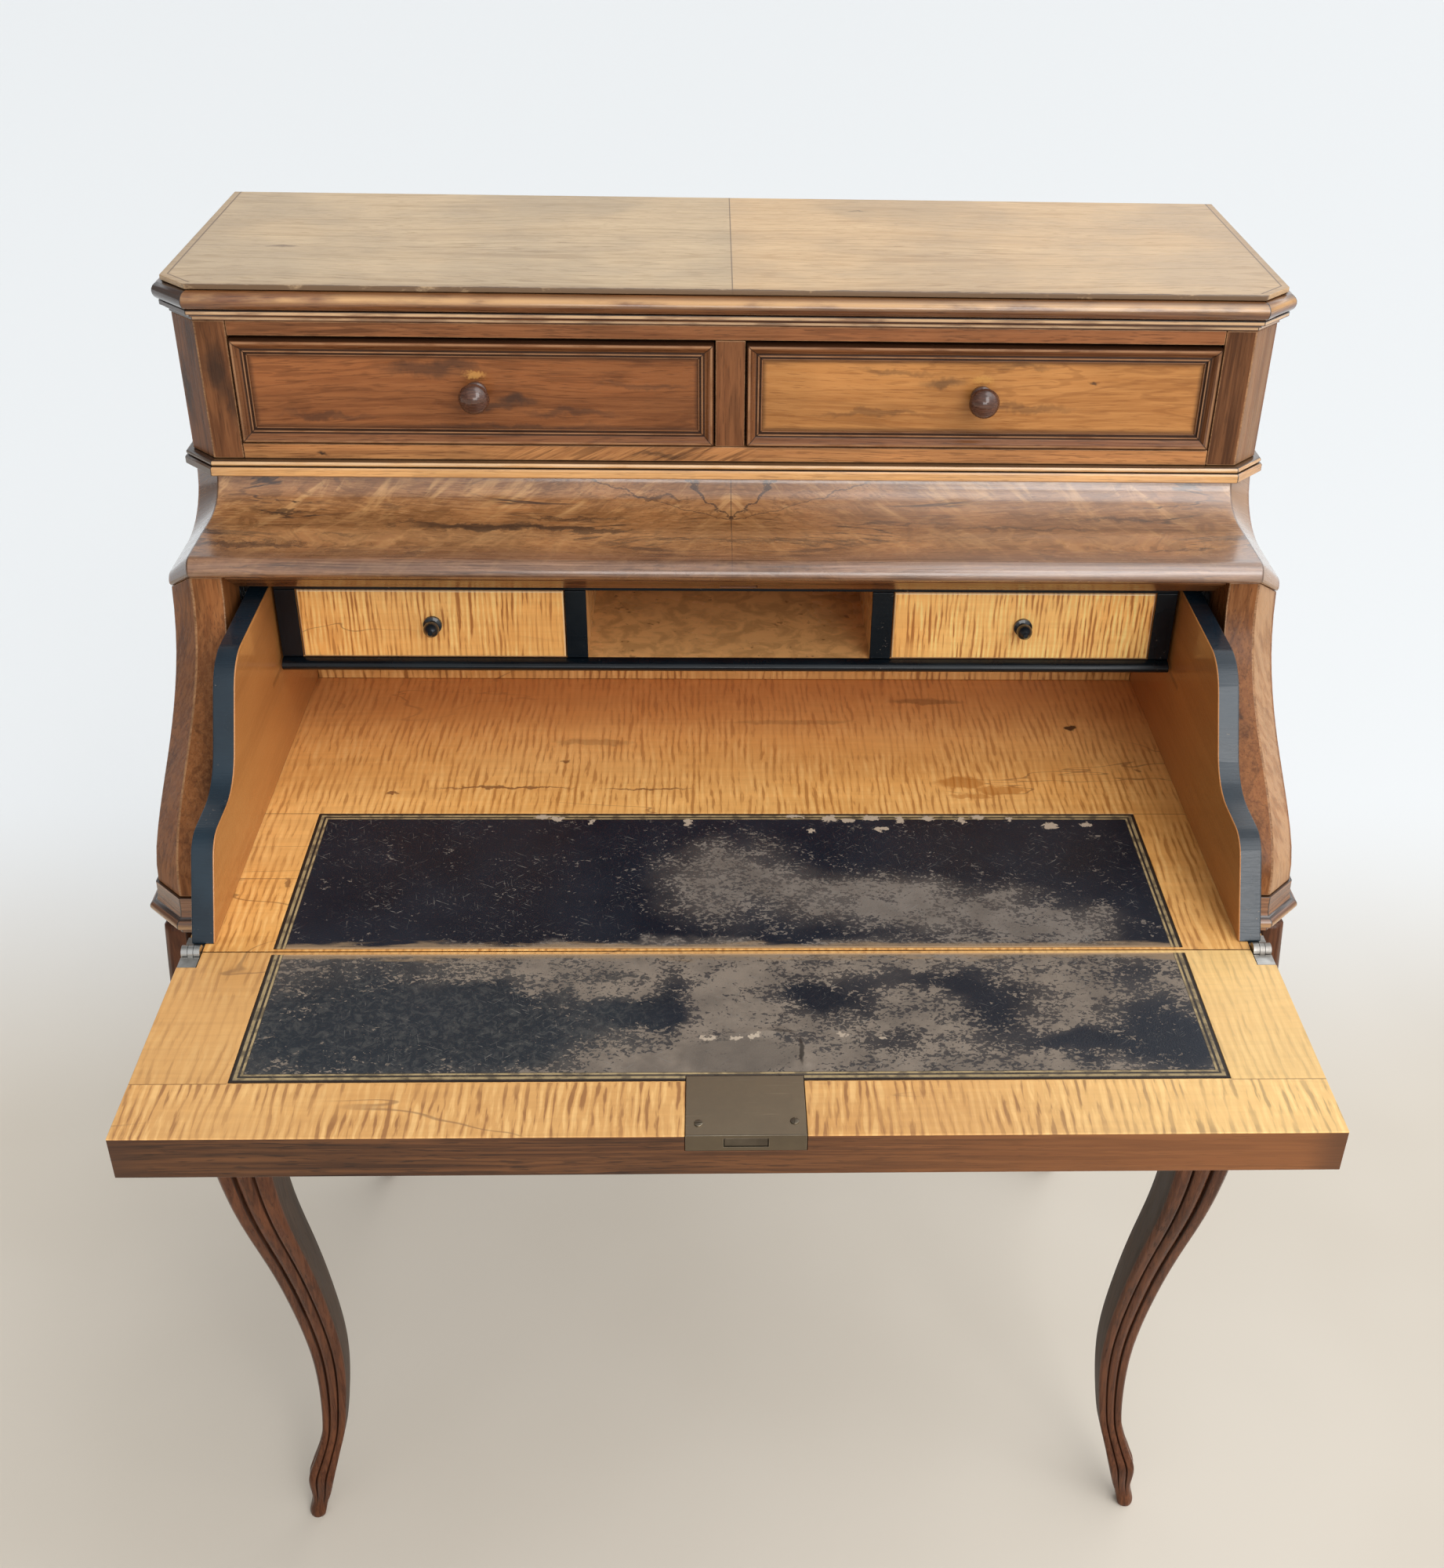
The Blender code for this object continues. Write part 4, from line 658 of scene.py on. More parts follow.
def tray_maple():
    """The writing tray's floor, with its knot, stain, scratches and the joint beside the leather."""
    material, shader, v = start_material("Tray maple")
    x, y, _ = apart(v)
    # Written paler than the fall's maple: painted light that stands in for light in the shade under the
    # upper case.
    colour, height, rough = maple_colour(v, 1.20, 0.0050, 0.62)
    toward_back = ease(y, -0.03, 0.14)
    colour = blend(toward_back * 0.40, colour, (0.72, 0.315, 0.112))
    shaken = ragged(v, 110.0, 0.012)
    knot = on_top(WRITING, 0.02, (0.2609, 0.0831, 0.0055, 0.0045, 0.95))
    spill = on_top(WRITING, 0.02, (0.168, 0.004, 0.022, 0.010, 0.65), (0.195, -0.006, 0.022, 0.007, 0.6),
                   (0.172, -0.014, 0.020, 0.004, 0.5))
    scratches = on_top(
        WRITING, 0.02,
        (-0.2389, -0.0108, 0.006, 0.002, 0.8), (-0.16, -0.003, 0.06, 0.0016, 0.8),
        (-0.06, -0.005, 0.04, 0.0014, 0.8), (0.1539, 0.1223, 0.035, 0.006, 0.5),
        (-0.10, 0.060, 0.035, 0.006, 0.35), (0.05, 0.09, 0.06, 0.004, 0.3),
        (-0.12, 0.033, 0.004, 0.002, 0.8), (0.30, 0.02, 0.003, 0.002, 0.7),
        (-0.29, -0.12, 0.003, 0.006, 0.7))
    colour = stain(colour, shaken, knot, (0.05, 0.018, 0.008), 0.4)
    colour = stain(colour, shaken, spill, (0.40, 0.13, 0.015), 0.4)
    colour = stain(colour, shaken, scratches, (0.17, 0.065, 0.022), 0.5)
    colour = blend(leather_joint(x, y, LEATHER_BACK, 0.6), colour, (0.12, 0.05, 0.015))
    polish(shader, colour, rough, height, 0.10, coat=0.14)
    return material


def fall_wood():
    """The fall: curly maple inside with a strongly figured front strip, walnut on its edges and outside."""
    material, shader, v = start_material("Fall maple and walnut")
    x, y, z = apart(v)
    inside, height, rough = maple_colour(v, 1.0, 0.0056, 0.42)
    front = maple_colour(vector_math("ADD", v, (0.31, 0.17, 0.0)), 1.08, 0.0056, 0.90)[0]
    joint = LEATHER_FRONT - 0.001
    inside = blend(y < joint, inside, front)
    inside = blend(0.14, inside, (0.68, 0.48, 0.27))
    # Painted light and sheen: the maple is made paler towards the right, where light falls from that side.
    painted_light_right = ease(x, 0.10, 0.33, 0.0, 0.50)
    inside = blend(painted_light_right, inside, blend(1.0, inside, (0.30, 0.32, 0.15), "ADD"))
    inside = blend(leather_joint(x, y, joint, 0.55), inside, (0.14, 0.06, 0.02))
    outside, out_height, _ = walnut_colour(
        v, (0.015, 0.005, 0.002), (0.077, 0.026, 0.008), (0.165, 0.064, 0.021), length=1.2, width=34.0,
        streak=0.75, line=0.5, pore=0.65, fibre=0.65)
    # Painted light: the walnut edge is made lighter and warmer towards the right.
    outside = blend(ease(x, -0.10, 0.32, 0.0, 0.45), outside, (0.34, 0.120, 0.035))
    outside = blend(ease(abs(x), 0.315, 0.338) * 0.6, outside, (0.06, 0.024, 0.011))
    top = z > WRITING - 0.0008
    colour = blend(top, outside, inside)
    polish(shader, colour, rough, blend(top, out_height, height), 0.10, coat=0.06, shine=0.3)
    return material


def ebony_parts(v, tone=1.0):
    """Colour, relief and roughness of blacked wood."""
    wear = use(HANDLING, Vector=v, Scale=14.0)
    wood = use(GRAIN, Vector=v, Length=6.0, Width=60.0)
    colour = blend(wear["Cloud"], (0.005 * tone, 0.011 * tone, 0.018 * tone),
                   (0.010 * tone, 0.024 * tone, 0.037 * tone))
    chip = wear["Speck"] * ease(noise(v, 22.0, 2.0), 0.54, 0.62)
    colour = blend(chip * 0.5, colour, (0.20, 0.165, 0.13))
    return colour, wood["Fibre"] - chip, 0.20 + wear["Cloud"] * 0.16


def knob_ebony():
    material, shader, v = start_material("Knob ebony")
    colour, height, rough = ebony_parts(v, 0.4)
    polish(shader, colour, rough, height, 0.05, coat=0.8, coat_rough=0.06, shine=0.3)
    return material


def amber_wood(v, tone=1.0):
    """Colour and roughness of the plain amber wood of the tray's sides and the gallery's inside."""
    wood = use(GRAIN, Vector=v, Length=2.2, Width=40.0, Sway=0.015)
    wear = use(HANDLING, Vector=v, Scale=6.0)
    shades = (0.45, 0.182, 0.049), (0.31, 0.115, 0.030), (0.53, 0.240, 0.074)
    base, deep, pale = ([part * tone for part in shade] for shade in shades)
    colour = blend(wood["Streak"] * 0.45, base, deep)
    colour = blend(wood["Fibre"] * 0.3, colour, pale)
    colour = blend(wear["Speck"] * 0.35, colour, (0.20, 0.08, 0.025))
    return colour, 0.32 + wear["Cloud"] * 0.1


def tray_side_wood():
    """The tray's sides: blacked outside, plain amber inside with a rubbed line under the gallery."""
    material, shader, v = start_material("Tray side")
    x, y, z = apart(v)
    black, height, black_rough = ebony_parts(v)
    amber, amber_rough = amber_wood(grain_along(v, "y"))
    rub = line_at(z, 0.7655, 0.0005, 0.0030, 0.6) * (y > 0.028)
    amber = blend(rub, amber, (0.15, 0.055, 0.015))
    inner = abs(x) < TRAY_INNER + 0.0009
    bare = ease(y, 0.070, 0.085) * (z > 0.826)
    black = blend(bare * 0.85, black, (0.20, 0.17, 0.14))
    rough = put(v.tree, "Mix", {0: inner, 2: black_rough, 3: amber_rough})
    polish(shader, blend(inner, black, amber), rough, height, 0.30, coat=0.4, coat_rough=0.08, shine=0.3)
    return material


def gallery_wood():
    """The gallery: blacked front edges on plain mottled boards, painted pale as light in its shaded recess.
    """
    material, shader, v = start_material("Gallery wood")
    x, y, _ = apart(v)
    black, height, rough = ebony_parts(v, 0.3)
    # Painted light: the boards are written pale, standing in for light reaching the shaded recess.
    brown = blend(0.60, amber_wood(v, 1.45)[0], (0.94, 0.57, 0.23))
    mottle = ease(noise(v, 62.0, 4.0, 0.6, 0.6), 0.40, 0.62, 0.0, 0.55)
    brown = blend(mottle, brown, (0.40, 0.215, 0.075))
    spots = ease(noise(v, 130.0, 2.0), 0.66, 0.74, 0.0, 0.6)
    brown = blend(spots, brown, (0.16, 0.07, 0.03))
    behind = ease(y, GALLERY_FRONT + 0.0012, GALLERY_FRONT + 0.0018)
    colour = blend(behind * (abs(x) < GALLERY_HALF), black, brown)
    polish(shader, colour, rough, height, 0.08, coat=0.08, shine=0.25)
    return material


# Where the leather is rubbed (or, with a minus, kept its black): x, y, half width, half depth, strength
RUBBED_PLACES = on_top(
    0.0, 1.0,
    (-0.003, -0.115, 0.080, 0.090, 0.85), (0.080, -0.135, 0.085, 0.055, 0.70),
    (0.150, -0.148, 0.115, 0.052, 0.90), (0.215, -0.166, 0.080, 0.030, 0.75),
    (0.080, -0.186, 0.270, 0.012, 0.65), (-0.130, -0.188, 0.150, 0.009, 0.75),
    (-0.221, -0.265, 0.130, 0.100, -1.00), (-0.130, -0.270, 0.085, 0.060, -0.90),
    (-0.150, -0.235, 0.060, 0.022, -0.40), (-0.053, -0.258, 0.046, 0.024, -1.25),
    (-0.036, -0.236, 0.016, 0.040, -0.65), (0.050, -0.239, 0.060, 0.030, -1.0),
    (0.157, -0.247, 0.042, 0.050, -0.85), (0.263, -0.275, 0.064, 0.058, -0.90),
    (0.200, -0.285, 0.050, 0.024, -0.75), (0.120, -0.222, 0.055, 0.022, -0.65),
    (0.250, -0.215, 0.045, 0.020, -0.50), (0.095, -0.275, 0.040, 0.014, -0.45),
    (-0.020, -0.298, 0.100, 0.020, 0.65), (0.004, -0.236, 0.036, 0.075, 0.45))

# Flakes lost from the leather along its back edge and by the lock: x, y, half width, half depth
FLAKES = (
    (-0.1300, -0.0410, 0.0060, 0.0035), (-0.1200, -0.0430, 0.0045, 0.0045),
    (-0.0960, -0.0470, 0.0020, 0.0045), (-0.0290, -0.0480, 0.0030, 0.0050),
    (0.0450, -0.0405, 0.0080, 0.0022), (0.0700, -0.0430, 0.0060, 0.0040),
    (0.0830, -0.0450, 0.0045, 0.0035), (0.0990, -0.0425, 0.0070, 0.0030),
    (0.1190, -0.0445, 0.0035, 0.0050), (0.1380, -0.0430, 0.0055, 0.0035),
    (0.1620, -0.0450, 0.0035, 0.0045), (0.1750, -0.0410, 0.0060, 0.0025),
    (0.1960, -0.0430, 0.0030, 0.0030), (0.2233, -0.0525, 0.0055, 0.0045),
    (0.2486, -0.0500, 0.0045, 0.0030), (0.0560, -0.0580, 0.0030, 0.0030),
    (0.1050, -0.0560, 0.0060, 0.0030), (-0.0150, -0.2760, 0.0060, 0.0022),
    (0.0020, -0.2760, 0.0050, 0.0020), (0.0120, -0.2740, 0.0030, 0.0024),
    (0.0640, -0.2730, 0.0035, 0.0018), (0.0880, -0.2750, 0.0025, 0.0018))


def writing_leather():
    """Black leather: gold border lines, rubbed brown where hands and papers lay, flaked at the back."""
    material, shader, v = start_material("Writing leather")
    x, y, _ = apart(v)
    flat = joined(x, y, 0.0)
    wear = use(HANDLING, Vector=flat, Scale=13.0)
    shaken = ragged(flat, 22.0, 0.05)
    on_fall = y < HINGE_LINE
    rubbed = -0.26 + on_fall * 0.95
    for centre, size, share in RUBBED_PLACES:
        rubbed = rubbed + patch(shaken, centre, size, 0.9) * share
    blotch = long_noise(flat, (46.0, 70.0, 1.0), 4.0, 0.6, 0.4)
    crumbs = long_noise(flat, (300.0, 430.0, 1.0), 4.0, 0.65, 0.6)
    uneven = (blotch - 0.5) * 2.6 + (crumbs - 0.5) * 4.2
    broken = ease(rubbed + uneven, 0.46, 0.54)
    colour = blend(wear["Cloud"], (0.005, 0.008, 0.015), (0.010, 0.014, 0.023))
    slate = on_fall * ease(x, -0.08, -0.02, 0.6, 0.06)
    lichen = ease(noise(flat, 160.0, 5.0, 0.7, 1.2), 0.44, 0.66)
    colour = blend(slate, colour, blend(lichen, (0.026, 0.032, 0.037), (0.082, 0.083, 0.078)))
    hazed = blend(on_fall, (0.190, 0.160, 0.135), (0.236, 0.189, 0.147))
    hazed = blend(ease(noise(flat, 34.0, 4.0, 0.6), 0.36, 0.66, 0.0, 0.6), hazed, (0.105, 0.085, 0.070))
    soft = ease(rubbed, -0.15, 0.65) * ease(on_fall + wear["Cloud"], 0.0, 1.0, 0.55, 0.24)
    colour = blend(soft, colour, hazed)
    colour = blend(broken * 0.92, colour, hazed)
    rare = ease(noise(flat, 18.0, 2.0), 0.42, 0.58, 0.15, 1.0)
    for turn, share in ((0.5, 0.75), (-0.7, 0.65), (1.4, 0.5)):
        scuff = long_noise(turned(flat, (0.0, 0.0, turn)), (90.0, 1100.0, 1.0), 2.0, 0.5, 0.5)
        colour = blend(ease(scuff, 0.66, 0.74, 0.0, share) * rare, colour, (0.20, 0.185, 0.165))
    fold = abs(y - HINGE_LINE)
    frayed = fold + (long_noise(flat, (24.0, 170.0, 1.0), 5.0, 0.65) - 0.5) * 0.026
    colour = blend(ease(frayed, 0.0040, 0.0100, 0.8, 0.0), colour, (0.27, 0.185, 0.110))
    colour = blend(ease(fold, 0.0032, 0.0050, 0.9, 0.0), colour, (0.44, 0.28, 0.150))
    limp = ragged(flat, 70.0, 0.006)
    flap = on_top(0.0, 1.0, (0.003, -0.290, 0.041, 0.019, 0.6))
    # Painted shadow: thin dark lines along the lifted fold's right and back edges.
    fold_shadows = on_top(0.0, 1.0, (0.0392, -0.2875, 0.0020, 0.0150, 0.85),
                     (0.0290, -0.2700, 0.0100, 0.0016, 0.6))
    colour = stain(colour, limp, flap, (0.105, 0.086, 0.070), 0.3)
    colour = stain(colour, limp, fold_shadows, (0.020, 0.015, 0.012), 0.5)
    inset = least(LEATHER_HALF - abs(x), least(LEATHER_BACK - y, y - LEATHER_FRONT))
    colour = blend(ease(inset, 0.0070, 0.0076, 0.75, 0.0), colour, (0.030, 0.022, 0.017))
    worn_gold = ease(noise(flat, 120.0, 3.0), 0.36, 0.56, 0.35, 1.0)
    for middle, half, share in ((0.0030, 0.0008, 0.75), (0.0062, 0.0005, 0.85)):
        line = line_at(inset, middle, half, half + 0.0004, share) * worn_gold
        colour = blend(line, colour, (0.46, 0.34, 0.17))
    flakes = on_top(0.0, 1.0, *((*row, 0.9) for row in FLAKES))
    colour = stain(colour, ragged(flat, 300.0, 0.012), flakes, (0.46, 0.37, 0.28), 0.25)
    colour = blend(ease(inset, 0.0010, 0.0018, 0.9, 0.0), colour, (0.020, 0.012, 0.008))
    pebble = put(v.tree, "TexVoronoi", {"Vector": v, "Scale": 900.0}, "Distance", feature="F1")
    rough = 0.34 + (broken * 0.22 + wear["Cloud"] * 0.1)
    polish(shader, colour, rough, pebble * 0.5 - broken * 0.7, 0.35, 0.0005, coat=0.0, shine=0.3)
    return material


def metal(name, colour, tarnish, rough, dark_front=None):
    """Old metal: fine brushing, clouds of tarnish, bright scratches; darker on a face at y = dark_front."""
    material, shader, v = start_material(name)
    wear = use(HANDLING, Vector=v, Scale=45.0)
    brush = long_noise(v, (60.0, 2600.0, 2600.0))
    shade = blend(wear["Cloud"], colour, tarnish)
    shade = blend(wear["Scratch"] * 0.3, shade, [min(1.0, part * 1.8) for part in colour])
    if dark_front is not None:
        front = ease(apart(v)[1], dark_front + 0.0003, dark_front + 0.0010, 0.75, 0.0)
        shade = blend(front, shade, (0.085, 0.068, 0.048))
    shader.inputs["Metallic"].default_value = 1.0
    polish(shader, shade, rough + wear["Cloud"] * 0.14, brush, 0.06, 0.0003, coat=0.0)
    return material


# Pieces

def choose(obj):
    bpy.ops.object.select_all(action="DESELECT")
    obj.select_set(True)
    bpy.context.view_layer.objects.active = obj


def apply_modifier(obj, kind, **settings):
    choose(obj)
    modifier = obj.modifiers.new(kind.title(), kind)
    for key, value in settings.items():
        setattr(modifier, key, value)
    bpy.ops.object.modifier_apply(modifier=modifier.name)


def smooth(obj, degrees):
    choose(obj)
    bpy.ops.object.shade_smooth_by_angle(angle=math.radians(degrees))


def body_of(node):
    return frame["nodes"][node]["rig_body"]


def stand_in(obj, node, slot, *materials):
    """obj takes a CAD node's place."""
    obj.data.materials.clear()
    for material in materials:
        obj.data.materials.append(material)
    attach(obj, body_of(node))
    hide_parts(node)


def merged_copy(node):
    """A copy of a CAD node with its triangles joined, left selected in edit mode."""
    choose(frame["nodes"][node])
    bpy.ops.object.duplicate()
    copy = bpy.context.object
    copy.name = node + "_finished"
    copy.parent = None
    copy.matrix_world = Matrix.Identity(4)
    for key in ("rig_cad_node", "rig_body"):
        del copy[key]
    bpy.ops.object.mode_set(mode="EDIT")
    bpy.ops.mesh.select_all(action="SELECT")
    bpy.ops.mesh.remove_doubles(threshold=0.00002)
    return copy


def eased_copy(node, slot, material, width=0.0006, worn=None):
    """A copy of a CAD node with its edges softened by handling; worn is the finish of rubbed edges."""
    copy = merged_copy(node)
    bpy.ops.mesh.dissolve_limited(angle_limit=math.radians(0.4))
    bpy.ops.object.mode_set(mode="OBJECT")
    finishes = [material, worn] if worn else [material]
    stand_in(copy, node, slot, *finishes)
    if width:
        apply_modifier(copy, "BEVEL", width=width, segments=2, limit_method="ANGLE",
                       angle_limit=math.radians(34), use_clamp_overlap=True, material=len(finishes) - 1)
    smooth(copy, 32)
    apply_modifier(copy, "WEIGHTED_NORMAL", keep_sharp=True)


def finished_leg(node, side, towards, polished, groove_shade, sawn):
    """A leg, rounded between its rows: polished mouldings, grooves painted dark as shade, and plain sawn
    sides within.
    """
    copy = merged_copy(node)
    bpy.ops.mesh.select_all(action="DESELECT")
    bpy.ops.object.mode_set(mode="OBJECT")
    for face in copy.data.polygons:
        face.select = abs(face.normal.z) > 0.99
    bpy.ops.object.mode_set(mode="EDIT")
    bpy.ops.mesh.dissolve_faces()
    bpy.ops.mesh.select_all(action="SELECT")
    bpy.ops.mesh.tris_convert_to_quads(face_threshold=math.radians(60), shape_threshold=math.radians(60))
    bpy.ops.object.mode_set(mode="OBJECT")
    stand_in(copy, node, "walnut", polished, groove_shade, sawn)
    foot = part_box(node)[0][2]
    for face in copy.data.polygons:
        within = max(-side * face.normal.x, -towards * face.normal.y)
        if face.center.z - foot > 0.035 and within > 0.8:
            face.material_index = 2
    bm = bmesh.new()
    bm.from_mesh(copy.data)
    crease = bm.edges.layers.float.get("crease_edge") or bm.edges.layers.float.new("crease_edge")
    for edge in bm.edges:
        if edge.calc_face_angle(0.0) > math.radians(38):
            upright = abs(edge.verts[0].co.z - edge.verts[1].co.z) > 0.001
            edge[crease] = 0.55 if upright else 0.8
            # Faces in the hollows take the groove finish: painted shade.
            for face in edge.link_faces:
                if not edge.is_convex and abs(face.normal.z) < 0.7:
                    face.material_index = 1
    bm.to_mesh(copy.data)
    bm.free()
    apply_modifier(copy, "SUBSURF", levels=2, render_levels=2)
    smooth(copy, 50)


def cut_across(axis, low, high, step):
    """Cuts the mesh in edit mode along an axis, at even places about a step apart between low and high."""
    normal = [float(letter == axis) for letter in "xyz"]
    count = max(1, round((high - low) / step))
    for i in range(1, count):
        at = low + (high - low) * i / count
        bpy.ops.mesh.select_all(action="SELECT")
        bpy.ops.mesh.bisect(plane_co=[at * part for part in normal], plane_no=normal)


# The line of the torn fold beside the lock, in x and y
TORN_FOLD = ((-0.030, -0.2990), (-0.024, -0.2760), (0.000, -0.2725),
             (0.028, -0.2690), (0.037, -0.2800), (0.0415, -0.2990))


def fold_rise(x, y):
    """How high the torn fold beside the lock stands."""
    nearest = 1.0
    p = Vector((x, y))
    for a, b in zip(map(Vector, TORN_FOLD), map(Vector, TORN_FOLD[1:])):
        t = min(max((p - a).dot(b - a) / (b - a).length_squared, 0.0), 1.0)
        nearest = min(nearest, (p - a.lerp(b, t)).length)
    right = min(max((x + 0.01) / 0.045, 0.0), 1.0)
    return (0.00025 + 0.0010 * right) * math.exp(-(nearest / 0.0026) ** 2)


def finished_leather(node, material, torn=False):
    """A sheet of leather that lies a little uneven; torn gives it the lifted fold beside the lock."""
    low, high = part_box(node)
    copy = merged_copy(node)
    bpy.ops.mesh.dissolve_limited(angle_limit=math.radians(0.4))
    cut_across("x", low[0], high[0], 0.012)
    cut_across("y", low[1], high[1], 0.012)
    if torn:
        cut_across("x", -0.036, 0.050, 0.0018)
        cut_across("y", -0.308, -0.262, 0.0018)
    bpy.ops.object.mode_set(mode="OBJECT")
    for vertex in copy.data.vertices:
        x, y, z = vertex.co
        inset = min(x - low[0], high[0] - x, y - low[1], high[1] - y)
        if z > high[2] - 0.0002 and inset > 0.002:
            vertex.co.z += 0.00018 * sea.noise(Vector((x * 28, y * 28, 0.0)))
            if torn:
                vertex.co.z += fold_rise(x, y)
    stand_in(copy, node, "leather", material)
    smooth(copy, 50)


def lining_strip(material, worn):
    """The strip that fills the slot between the back apron and the case bottom, over the back legs."""
    (_, front, _), (_, back, apron_top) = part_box("apron_back")
    (left, _, low), (right, _, _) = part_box("case_bottom")
    size = (right - left - 0.0004, back - front, low - apron_top - 0.0006)
    middle = (0.0, (front + back) / 2, (low + apron_top) / 2)
    bpy.ops.object.select_all(action="DESELECT")
    bpy.ops.mesh.primitive_cube_add(size=1.0, location=middle, scale=size)
    strip = bpy.context.object
    strip.name = "apron_back_lining"
    bpy.ops.object.transform_apply(location=True, scale=True)
    strip.data.materials.append(material)
    strip.data.materials.append(worn)
    apply_modifier(strip, "BEVEL", width=0.0006, segments=2, material=1)
    smooth(strip, 32)
    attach(strip, body_of("apron_back"))


def lock_screw(name, x, y, turn, material):
    """A slotted screw head let into the lock's plate."""
    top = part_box("lock_case")[1][2]
    bpy.ops.object.select_all(action="DESELECT")
    place = (x, y, top + 0.0001)
    bpy.ops.mesh.primitive_cylinder_add(vertices=40, radius=0.0025, depth=0.0012, location=place)
    screw = bpy.context.object
    screw.name = name
    bpy.ops.object.transform_apply(location=True)
    apply_modifier(screw, "BEVEL", width=0.0003, segments=3, limit_method="ANGLE",
                   angle_limit=math.radians(40))
    bpy.ops.object.select_all(action="DESELECT")
    bpy.ops.mesh.primitive_cube_add(size=1.0, location=(x, y, top + 0.0006), rotation=(0.0, 0.0, turn))
    slot = bpy.context.object
    slot.scale = (0.0060, 0.0006, 0.0010)
    bpy.ops.object.transform_apply(location=True, rotation=True, scale=True)
    apply_modifier(screw, "BOOLEAN", object=slot, operation="DIFFERENCE", solver="EXACT")
    bpy.data.objects.remove(slot)
    smooth(screw, 35)
    screw.data.materials.append(material)
    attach(screw, "fall")


# The studio

def area_light(name, location, size, energy, colour):
    """A soft rectangular lamp aimed at the desk."""
    bpy.ops.object.light_add(type="AREA", location=location)
    lamp = bpy.context.object
    lamp.name = name
    lamp.data.shape = "RECTANGLE"
    lamp.data.size, lamp.data.size_y = size
    lamp.data.energy = energy
    lamp.data.color = colour
    aim = Vector((0.0, -0.05, 0.78)) - lamp.location
    lamp.rotation_euler = aim.to_track_quat("-Z", "Y").to_euler()


def pale_floor():
    bpy.ops.object.select_all(action="DESELECT")
    bpy.ops.mesh.primitive_plane_add(size=30.0, location=(0, 0, 0))
    floor = bpy.context.object
    floor.name = "studio_floor"
    material, shader, v = start_material("Studio floor")
    tint = ease(noise(v, 3.0, 2.0), 0.3, 0.7)
    colour = blend(tint, (0.63, 0.565, 0.475), (0.66, 0.595, 0.505))
    colour = blend(ease(apart(v)[1], 0.35, 1.1), colour, (0.82, 0.83, 0.83))
    fill(shader.inputs["Base Color"], colour)
    shader.inputs["Roughness"].default_value = 0.7
    floor.data.materials.append(material)


def soft_sky():
    """An even sky, brighter ahead of the desk, on its right and in one patch above."""
    world = bpy.data.worlds.new("Soft sky")
    bpy.context.scene.world = world
    world.use_nodes = True
    sky = world.node_tree.nodes["Background"]
    towards = put(world.node_tree, "TexCoord", {}, "Generated")
    x, y, z = apart(towards)
    ahead = vector_math("DOT_PRODUCT", towards, Vector((0.42, -0.78, 0.48)).normalized())
    above = vector_math("DOT_PRODUCT", towards, Vector((0.40, -0.36, 0.84)).normalized())
    level = 0.21 + ease(z, 0.0, 1.0, 0.0, 0.10)
    level = level + ease(ahead, 0.15, 0.95, 0.0, 0.68)
    level = level + ease(y, 0.15, 0.8) * ease(z, 0.35, 0.8, 0.40, 0.0)
    level = level + ease(x, 0.02, 0.30) * ease(z, 0.20, 0.45, 0.15, 1.0)
    level = level + ease(above, 0.90, 0.985, 0.0, 1.5)
    colour = blend(1.0, (0.98, 1.0, 1.02), joined(level, level, level), "MULTIPLY")
    fill(sky.inputs["Color"], colour)
    sky.inputs["Strength"].default_value = 1.0


def photo_camera():
    flat, steep = math.cos(CAMERA_PITCH), math.sin(CAMERA_PITCH)
    ahead = Vector((math.sin(CAMERA_YAW) * flat, math.cos(CAMERA_YAW) * flat, -steep))
    level = Vector((math.cos(CAMERA_YAW), -math.sin(CAMERA_YAW), 0.0))
    up = level.cross(ahead)
    right = math.cos(CAMERA_ROLL) * level + math.sin(CAMERA_ROLL) * up
    top = -math.sin(CAMERA_ROLL) * level + math.cos(CAMERA_ROLL) * up
    bpy.ops.object.camera_add()
    camera = bpy.context.object
    camera.name = "camera"
    turn = Matrix((right, top, -ahead)).transposed().to_4x4()
    camera.matrix_world = Matrix.Translation(CAMERA_PLACE) @ turn
    camera.data.sensor_width = SENSOR
    camera.data.lens = FOCAL_PIXELS / PHOTO_HEIGHT * SENSOR
    camera.data.shift_x = -(OPTICAL_CENTRE[0] - PHOTO_WIDTH / 2) / PHOTO_HEIGHT
    camera.data.shift_y = (OPTICAL_CENTRE[1] - PHOTO_HEIGHT / 2) / PHOTO_HEIGHT
    bpy.context.scene.camera = camera


def studio():
    """A plain pale floor, soft light and the camera."""
    pale_floor()
    soft_sky()
    area_light("front_fill", (0.3, -2.7, 1.25), (1.4, 0.7), 13.0, (1.0, 0.98, 0.95))
    area_light("key_light", (1.1, -2.5, 2.2), (1.0, 1.5), 19.0, (1.0, 0.99, 0.98))
    photo_camera()
    bpy.context.scene.view_settings.view_transform = "Standard"


# The desk

